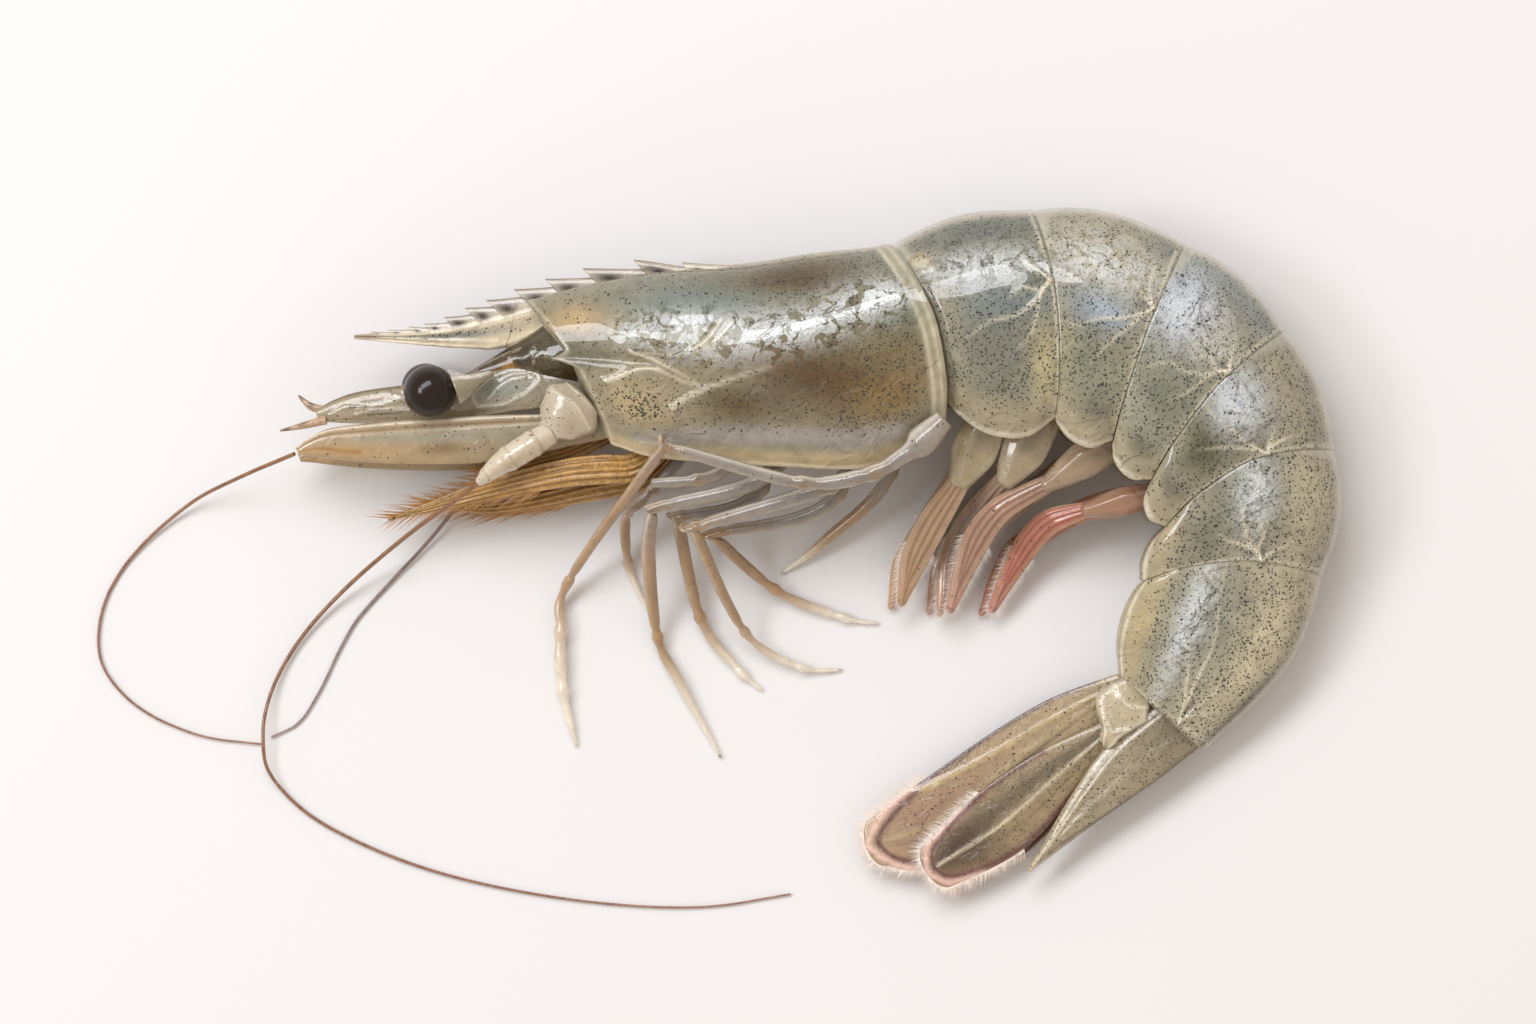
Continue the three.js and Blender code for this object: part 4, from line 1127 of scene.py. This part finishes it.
for side in ("near", "far"):
    antennule = strip_skin(f"antennule_{side}", FRONT, 150, 56, "b5a68a", under=(0.2, 2.8),
                           widths=(1.0, 1.15, 1.25))
    antennule.stain((0.66, 0.4), (0.11, 0.32), "a3aba2", 0.95)
    antennule.stain((0.9, 0.5), (0.1, 0.5), "8b8a76", 0.7)
    oval = [(0.57, 0.74), (0.56, 0.45), (0.62, 0.16), (0.74, 0.05), (0.81, 0.2), (0.78, 0.5),
            (0.68, 0.78), (0.57, 0.74)]
    folds = [oval, [(0.61, 0.6), (0.67, 0.35), (0.75, 0.22)], [(0.1, 0.4), (0.2, 0.5), (0.3, 0.36)],
             [(0.14, 0.7), (0.22, 0.58), (0.33, 0.66)], [(0.28, 0.25), (0.36, 0.45), (0.42, 0.3)],
             [(0.05, 0.6), (0.1, 0.42), (0.16, 0.56)], [(0.34, 0.6), (0.42, 0.56), (0.48, 0.7)]]
    for line in folds:
        antennule.fold(line, 0.16, 0.14, 0.1, "f0ece0", 0.9)
    for line in [[(0.12, 0.46), (0.24, 0.52)], [(0.3, 0.5), (0.4, 0.44)], [(0.18, 0.75), (0.3, 0.72)]]:
        antennule.draw(line, 0.09, "4d3b28", 0.85)
    antennule.draw([(0.0, 0.04), (0.3, 0.03), (0.5, 0.05)], 0.16, "6a5138", 0.8)
    antennule.draw([(0.0, 0.95), (0.5, 0.95), (0.9, 0.95)], 0.13, "d9cfb8", 0.7)
    finish_piece(antennule.piece(f"antennule_{side}", CLEAR_SKIN), "glassy", f"antennule_{side}")

    scale = strip_skin(f"antennal_scale_{side}", FRONT, 150, 48, "bea57e", under=(0.1, 2.4),
                       widths=(1.0, 1.15, 1.2))
    scale.paint([
        ((0.1, 0.5), (0.18, 0.6), "caa878", 0.8), ((0.5, 0.4), (0.5, 0.14), "a9aa9a", 0.8),
        ((0.46, 0.66), (0.07, 0.12), "8f6f3b", 0.85), ((0.8, 0.65), (0.3, 0.3), "9f977a", 0.8)])
    scale.ridge([(0.0, 0.1), (1.0, 0.06)], 0.2, 0.3)
    scale.draw([(0.0, 0.09), (1.0, 0.03)], 0.12, "eee8d9", 0.9)
    scale.draw([(0.0, 0.2), (1.0, 0.13)], 0.09, "7d6c52", 0.8)
    scale.draw([(0.0, 0.29), (1.0, 0.22)], 0.09, "e0d8c4", 0.8)
    scale.draw([(0.0, 0.5), (0.12, 0.7), (0.2, 0.74)], 0.2, "b8803f", 0.8)
    scale.draw([(0.0, 0.95), (1.0, 0.95)], 0.14, "b5a07a", 0.9)
    scale.dots *= 0.5
    finish_piece(scale.piece(f"antennal_scale_{side}", CLEAR_SKIN), "glassy", f"antennal_scale_{side}")

    bulb = strip_skin(f"antenna_base_{side}", FRONT, 70, 56, "d6c9b2", tips=(0.8, 0.6),
                      widths=(1.2, 1.25, 2.0))
    bulb.dots = 1.3 * bulb.near((0.3, 0.35), (0.35, 0.35))
    for line in [[(0.15, 0.15), (0.22, 0.5), (0.15, 0.85)], [(0.62, 0.1), (0.72, 0.5), (0.62, 0.9)]]:
        bulb.fold(line, 0.3, 0.12, 0.12, "efe8d6", 0.8)
    bulb.stain((0.45, 0.7), (0.2, 0.2), "b3a387", 0.6)
    finish_piece(bulb.piece(f"antenna_base_{side}", CLEAR_SKIN), "glassy", f"antenna_base_{side}")

    joint = strip_skin(f"antenna_peduncle_{side}", FRONT, 80, 40, "e6d9c2", under=(0.5, 0.5))
    for share in (0.12, 0.45, 0.78):
        joint.ridge([(share, -0.2), (share, 1.2)], 0.3, 0.1)
        joint.draw([(share + 0.04, -0.2), (share + 0.04, 1.2)], 0.08, "a08454", 0.6)
    joint.stain((0.55, 0.75), (0.4, 0.2), "b39d74", 0.6)
    joint.draw([(0.1, 0.3), (0.9, 0.35)], 0.14, "ece5d3", 0.6)
    joint.dots *= 0.4
    finish_piece(joint.piece(f"antenna_joint_{side}", CLEAR_SKIN), "glassy", f"antenna_peduncle_{side}")

    stalk = strip_skin(f"eyestalk_{side}", FRONT, 60, 40, "a0967f", under=(0.6, 0.2), widths=(1, 0.8, 0.6))
    stalk.dots *= 0.6
    stalk.draw([(0.2, 0.1), (0.9, 0.2)], 0.16, "d9d2c2", 0.7)
    stalk.draw([(0.1, 0.85), (0.9, 0.8)], 0.2, "7f725a", 0.6)
    finish_piece(stalk.piece(f"eyestalk_{side}", CLEAR_SKIN), "glassy", f"eyestalk_{side}")

    low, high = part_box(f"eye_{side}")
    bpy.ops.mesh.primitive_uv_sphere_add(segments=72, ring_count=48, radius=1)
    eye = bpy.context.object
    eye.name = f"eye_globe_{side}"
    centre = (low + high) / 2
    for vertex in eye.data.vertices:
        vertex.co = centre + vertex.co * (high.y - low.y) / 2
    eye.data.polygons.foreach_set("use_smooth", [True] * len(eye.data.polygons))
    eye.data.materials.append(EYE_SKIN)
    finish_piece(eye, "eye", f"eye_{side}")

for part in ("upper", "lower"):
    spike = strip_skin(f"antennule_tip_{part}", FRONT, 50, 24, "b89a7c", under=(0.3, 0.8))
    spike.dots *= 0
    spike.stain((0.12, 0.5), (0.12, 1.0), "4a3628", 0.9)
    spike.stain((0.5, 0.3), (0.12, 0.4), "3a2c24", 0.7)
    finish_piece(spike.piece(f"antennule_spike_{part}", AMBER_SKIN), "amber", f"antennule_tip_{part}")

# %% [markdown]
# ## Mouthparts
# A bundle of amber strands hangs under the head. Each piece is ridged lengthwise, and fine bristles
# stand along its edges.

# %% Strands and bristles
for place, name in enumerate(("maxilliped_near", "maxilliped_far", "mouthparts")):
    strand = strip_skin(name, middle_of("leg_3_near"), 150, 60, "ad803c", under=(0.3, 0.2), tips=(0, 1.0))
    waves = np.sin(strand.deep * 2 * np.pi * 4.5 + 3 * strand.along + place)
    strand.lift += 0.14 * waves
    # painted highlight on the raised strands and painted shade in the grooves between them
    strand.blend(0.5 * np.clip(waves, 0, 1), "c39c62")
    strand.blend(0.5 * np.clip(-waves, 0, 1), "6d4f28")
    strand.blend(0.4 * smooth_step(0.6, 1.0, strand.along), "c7a468")
    strand.dots *= 0
    finish_piece(strand.piece("strand_" + name, AMBER_SKIN), "amber", name)
    rim, outward = rim_of(strand, 0.5)
    away = unit(outward + 1.6 * unit(strand.middle[-1] - strand.middle[len(strand.middle) // 2]))
    fringe("bristles_" + name, rim, away, count=110, length=3.0, spread=0.12, seed=3 + place,
           material=BRISTLE_SKIN, slot="amber", radius=0.08)

# %% [markdown]
# ## Feelers
# The long feelers are copper near the head and fade to a pale pink at their ends.

# %% Three long feelers
for name, start, thick, thin in (("flagellum_near", middle_of("antenna_peduncle_near"), 0.25, 0.1),
                                 ("flagellum_far", middle_of("antenna_peduncle_far"), 0.22, 0.1),
                                 ("flagellum_third", middle_of("antennal_scale_near"), 0.22, 0.1)):
    path = rings_of(name, start).mean(axis=1)
    path = fill_in(path, even_steps(path[:, None], 400))
    share = np.linspace(0, 1, len(path))[:, None] ** 0.7
    if name == "flagellum_far":
        shades = tone("6f5646") * (1 - share) + tone("86777a") * share
    else:
        shades = tone("7f5426") * (1 - share) + tone("8f6a5c") * share
    feeler = line_object("feeler_" + name.split("_")[1], path, colours=shades)
    grown(feeler, FEELER, Thick=thick * MM, Thin=thin * MM, Sides=12, Material=AMBER_SKIN)
    finish_piece(feeler, "feeler", name)

# %% [markdown]
# ## Legs
# The walking legs are glassy tubes with a waist on each side of every joint. The joints are amber,
# and a pale line is painted along one edge, where the light would catch it. All legs are made alike,
# but one whose tip shows turns tan and then cream towards it.


# %% Walking legs
FINE_TIP = 0.7 * MM  # a leg that ends narrower than this shows its tip


def leg_skin(name):
    start = middle_of("abdomen_1")
    leg = strip_skin(name, start, 260, 24, "ada296", under=(0.3, 0.0), tips=(0, 0.4))
    whole = np.linalg.norm(leg.left[-8] - leg.right[-8]) < FINE_TIP
    bends = bends_of(name, start)
    for share in bends:
        waist = leg.near((share, 0.5), (0.5 / leg.length, 1e9))
        sides = sum(leg.near((share + step / leg.length, 0.5), (0.7 / leg.length, 1e9))
                    for step in (-1.1, 1.1))
        leg.lift += 0.1 * waist - 0.12 * sides
        leg.blend(0.75 * np.clip(waist + 0.4 * sides, 0, 1), "a37e4c")
    core = np.exp(-((leg.deep - 0.45) / 0.2) ** 2)
    leg.blend(0.5 * core * smooth_step(0.0, 0.1, leg.along), "7b7d80")
    # painted highlight: a pale line along one edge, where the light would catch the tube
    leg.blend(0.9 * np.exp(-((leg.deep - 0.84) / 0.09) ** 2), "ece7dc")
    leg.blend(0.6 * np.exp(-((leg.deep - 0.05) / 0.08) ** 2), "c2b59b")
    leg.blend(0.75 * whole * smooth_step(0.34, 0.6, leg.along), "bd9564")
    leg.blend(0.95 * whole * smooth_step(0.72, 0.92, leg.along), "fbf1e0")
    leg.dots = 0.8 * core * (1 - smooth_step(0.6, 0.7, leg.along))
    return leg


LEGS = [name for name in SOLIDS if name.startswith("leg_")]
for name in LEGS:
    finish_piece(leg_skin(name).piece("walking_" + name, CLEAR_SKIN), "glassy", name)
print(len(LEGS), "walking legs")

# %% [markdown]
# ## Swimming legs
# Four pairs hang under the first rings: a stout clear base, and from it a thin leaf with a dark line
# down the middle and fine hairs along its rim. The last pair is the reddest.

# %% Bases, leaves and their hairs
LEAF_TONES = {1: ("cba787", "8b7048", "d3ab84"), 2: ("c09f8a", "7d6a5a", "d5ab94"),
              3: ("cb9f86", "80624f", "dba892"), 4: ("d38a6c", "98504a", "e2a594")}
for number, (ground, line_colour, tip_colour) in LEAF_TONES.items():
    body = middle_of(f"abdomen_{number}")
    base_node = f"pleopod_{number}_base_near"
    base = strip_skin(base_node, body, 80, 40, "c2b28c", under=(0.6, 0.3), tips=(0, 0.6))
    base.stain((0.35, 0.5), (0.3, 0.25), "8c866c", 0.7)
    base.draw([(0.0, 0.06), (0.5, 0.04), (0.95, 0.2)], 0.16, "d3cab2", 0.85)
    base.draw([(0.0, 0.94), (0.5, 0.96), (0.95, 0.8)], 0.16, "d3cab2", 0.85)
    base.fold([(0.1, 0.6), (0.5, 0.66), (0.9, 0.55)], 0.2, 0.14, 0.14, "cfc6ad", 0.6)
    base.blend(0.18 * (number - 1), ground)
    base.tint *= 1 - 0.07 * (number - 1)
    base.dots *= 0.25
    finish_piece(base.piece(f"swimming_base_{number}", CLEAR_SKIN), "glassy", base_node)
    for node, name in ((f"pleopod_{number}_blade_near", f"swimming_leaf_{number}"),
                       (f"pleopod_{number}_far", f"swimming_far_{number}")):
        leaf = strip_skin(node, body, 140, 40, ground, under=(0.6, 0.0), tips=(0, 0.8))
        for share in (0.28, 0.5, 0.72):
            leaf.draw([(0.0, share), (0.6, share), (0.98, 0.5)], 0.14, line_colour, 0.8)
            leaf.ridge([(0.0, share + 0.08), (0.6, share + 0.08), (0.98, 0.5)], 0.15, 0.12)
        for edge in (0.04, 0.96):
            leaf.draw([(0.0, edge), (0.7, edge), (0.97, 0.5)], 0.14, "c9b79c", 0.75)
        leaf.blend(0.8 * smooth_step(0.72, 1.0, leaf.along), tip_colour)
        leaf.dots *= 0.2
        finish_piece(leaf.piece(name, CLEAR_SKIN), "glassy", node)
        rim, outward = rim_of(leaf, 0.6)
        fringe(name + "_hairs", rim, outward, count=150, length=0.9, spread=0.2, seed=number,
               material=HAIR_SKIN, slot="glassy", radius=0.03)
print(5 * len(LEAF_TONES), "swimming leg pieces and fringes")

# %% [markdown]
# ## Tail fan
# The fan is a pointed middle piece with a pair of ribbed leaves on each side. The outer leaf has a
# maroon outer edge that stops at a small pale spot, the inner one is darker towards its tip, and a
# pale pink fringe of hairs runs round both.

# %% Middle piece and the two pairs of leaves
body = middle_of("abdomen_6")
spike = strip_skin("telson", body, 150, 48, "9a8d74", under=(1.2, 0.0), tips=(0, 0.3),
                   widths=(1.4, 1.35, 1.2, 1.0))
spike.ridge([(0.0, 0.3), (0.6, 0.4), (0.95, 0.5)], 0.3, 0.15)
spike.ridge([(0.0, 0.8), (0.6, 0.72), (0.95, 0.5)], 0.25, 0.15)
spike.draw([(0.0, 0.93), (0.6, 0.9), (1.0, 0.6)], 0.13, "e9e3d3", 0.9)
spike.draw([(0.0, 0.8), (0.6, 0.76), (0.97, 0.55)], 0.11, "e0d8c4", 0.8)
spike.draw([(0.0, 0.03), (0.6, 0.03), (0.97, 0.4)], 0.16, "5c4a3c", 0.7)
spike.stain((0.1, 0.5), (0.25, 0.7), "6f654c", 0.75)
spike.blend(0.8 * smooth_step(0.85, 0.98, spike.along), "cdbfa0")
finish_piece(spike.piece("tail_spike", TAIL_SKIN), "tail", "telson")

BLUNT = (1, 1, 1, 1, 1, 1, 1.08, 1.35, 2.1)  # widens a leaf towards its round tip
for side in ("near", "far"):
    outer = strip_skin(f"uropod_exopod_{side}", body, 170, 64, "a38f70", under=(0.6, 0.0), tips=(0.9, 1.5),
                       widths=BLUNT)
    outer.stain((0.75, 0.5), (0.25, 0.6), "97755f", 0.8)
    outer.fold([(0.0, 0.62), (0.4, 0.7), (0.76, 0.92)], 0.3, 0.12, 0.22, "b7a476", 0.85)
    outer.fold([(0.0, 0.5), (0.45, 0.46), (0.93, 0.5)], 0.25, 0.1, 0.18, "a99a72", 0.8)
    outer.draw([(0.0, 0.42), (0.45, 0.38), (0.9, 0.4)], 0.12, "5f5039", 0.7)
    outer.draw([(0.1, 0.99), (0.5, 0.99), (0.76, 0.99)], 0.3, "40262a", 0.95)
    outer.draw([(0.76, 1.0), (0.9, 0.96), (0.98, 0.7), (0.99, 0.4), (0.94, 0.1), (0.85, 0.02)],
               0.5, "e0bcae", 0.92)
    outer.draw([(0.76, 0.93), (0.88, 0.84), (0.945, 0.62), (0.95, 0.4), (0.9, 0.16), (0.75, 0.06),
                (0.4, 0.03)], 0.3, "5a2e33", 0.9)
    outer.stain((0.77, 0.99), (0.012, 0.04), "e0c9b0", 0.9)
    outer.dots *= 0.6 * (1 - smooth_step(0.84, 0.92, outer.along))
    finish_piece(outer.piece(f"tail_outer_{side}", TAIL_SKIN), "tail", f"uropod_exopod_{side}")
    rim, outward = rim_of(outer, 0.7)
    fringe(f"tail_outer_hairs_{side}", rim, outward, count=600, length=1.3, spread=0.12, seed=11,
           material=HAIR_SKIN, slot="tail")

    inner = strip_skin(f"uropod_endopod_{side}", body, 170, 64, "93805f", under=(0.6, 0.0), tips=(0.9, 1.5),
                       widths=BLUNT)
    inner.draw([(0.0, 0.6), (0.6, 0.66), (0.9, 0.55)], 0.9, "51473a", 0.7)
    inner.stain((0.82, 0.5), (0.16, 0.5), "40261f", 0.9)
    inner.fold([(0.0, 0.45), (0.5, 0.45), (0.94, 0.5)], 0.25, 0.12, 0.13, "d3c6a8", 0.9)
    inner.draw([(0.0, 0.3), (0.5, 0.28), (0.85, 0.4)], 0.13, "6a5b42", 0.7)
    inner.draw([(0.7, 1.0), (0.9, 0.96), (0.98, 0.7), (0.99, 0.4), (0.94, 0.1), (0.8, 0.0)],
               0.5, "dcb6a8", 0.92)
    inner.draw([(0.3, 0.97), (0.7, 0.95), (0.9, 0.84), (0.95, 0.6), (0.95, 0.4), (0.9, 0.16),
                (0.7, 0.05), (0.2, 0.03)], 0.28, "5c2b2f", 0.85)
    inner.dots *= 0.8 * (1 - smooth_step(0.86, 0.94, inner.along))
    finish_piece(inner.piece(f"tail_inner_{side}", TAIL_SKIN), "tail", f"uropod_endopod_{side}")
    rim, outward = rim_of(inner, 0.62)
    fringe(f"tail_inner_hairs_{side}", rim, outward, count=600, length=1.3, spread=0.12, seed=12,
           material=HAIR_SKIN, slot="tail")

    knuckle = strip_skin(f"uropod_base_{side}", body, 80, 48, "b5a98c", under=(1.2, 1.0), tips=(1.2, 1.4),
                         widths=(1.3, 1.6, 1.5))
    for line in [[(0.0, 0.2), (0.5, 0.12), (1.0, 0.3)], [(0.0, 0.8), (0.5, 0.9), (1.0, 0.7)],
                 [(0.35, 0.1), (0.45, 0.5), (0.35, 0.9)], [(0.7, 0.2), (0.8, 0.5), (0.7, 0.8)]]:
        knuckle.fold(line, 0.25, 0.2, 0.14, "ddd4c0", 0.8)
    knuckle.dots *= 0.3
    finish_piece(knuckle.piece(f"tail_knuckle_{side}", TAIL_SKIN), "tail", f"uropod_base_{side}")

left_over = [name for name, solid in SOLIDS.items() if not solid.hide_render]
print("solids that still show:", left_over)

# %% [markdown]
# ## Size
# The box of all the pieces is measured, like the box of the solids at the start.

# %% The size of the finished model
low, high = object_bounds()
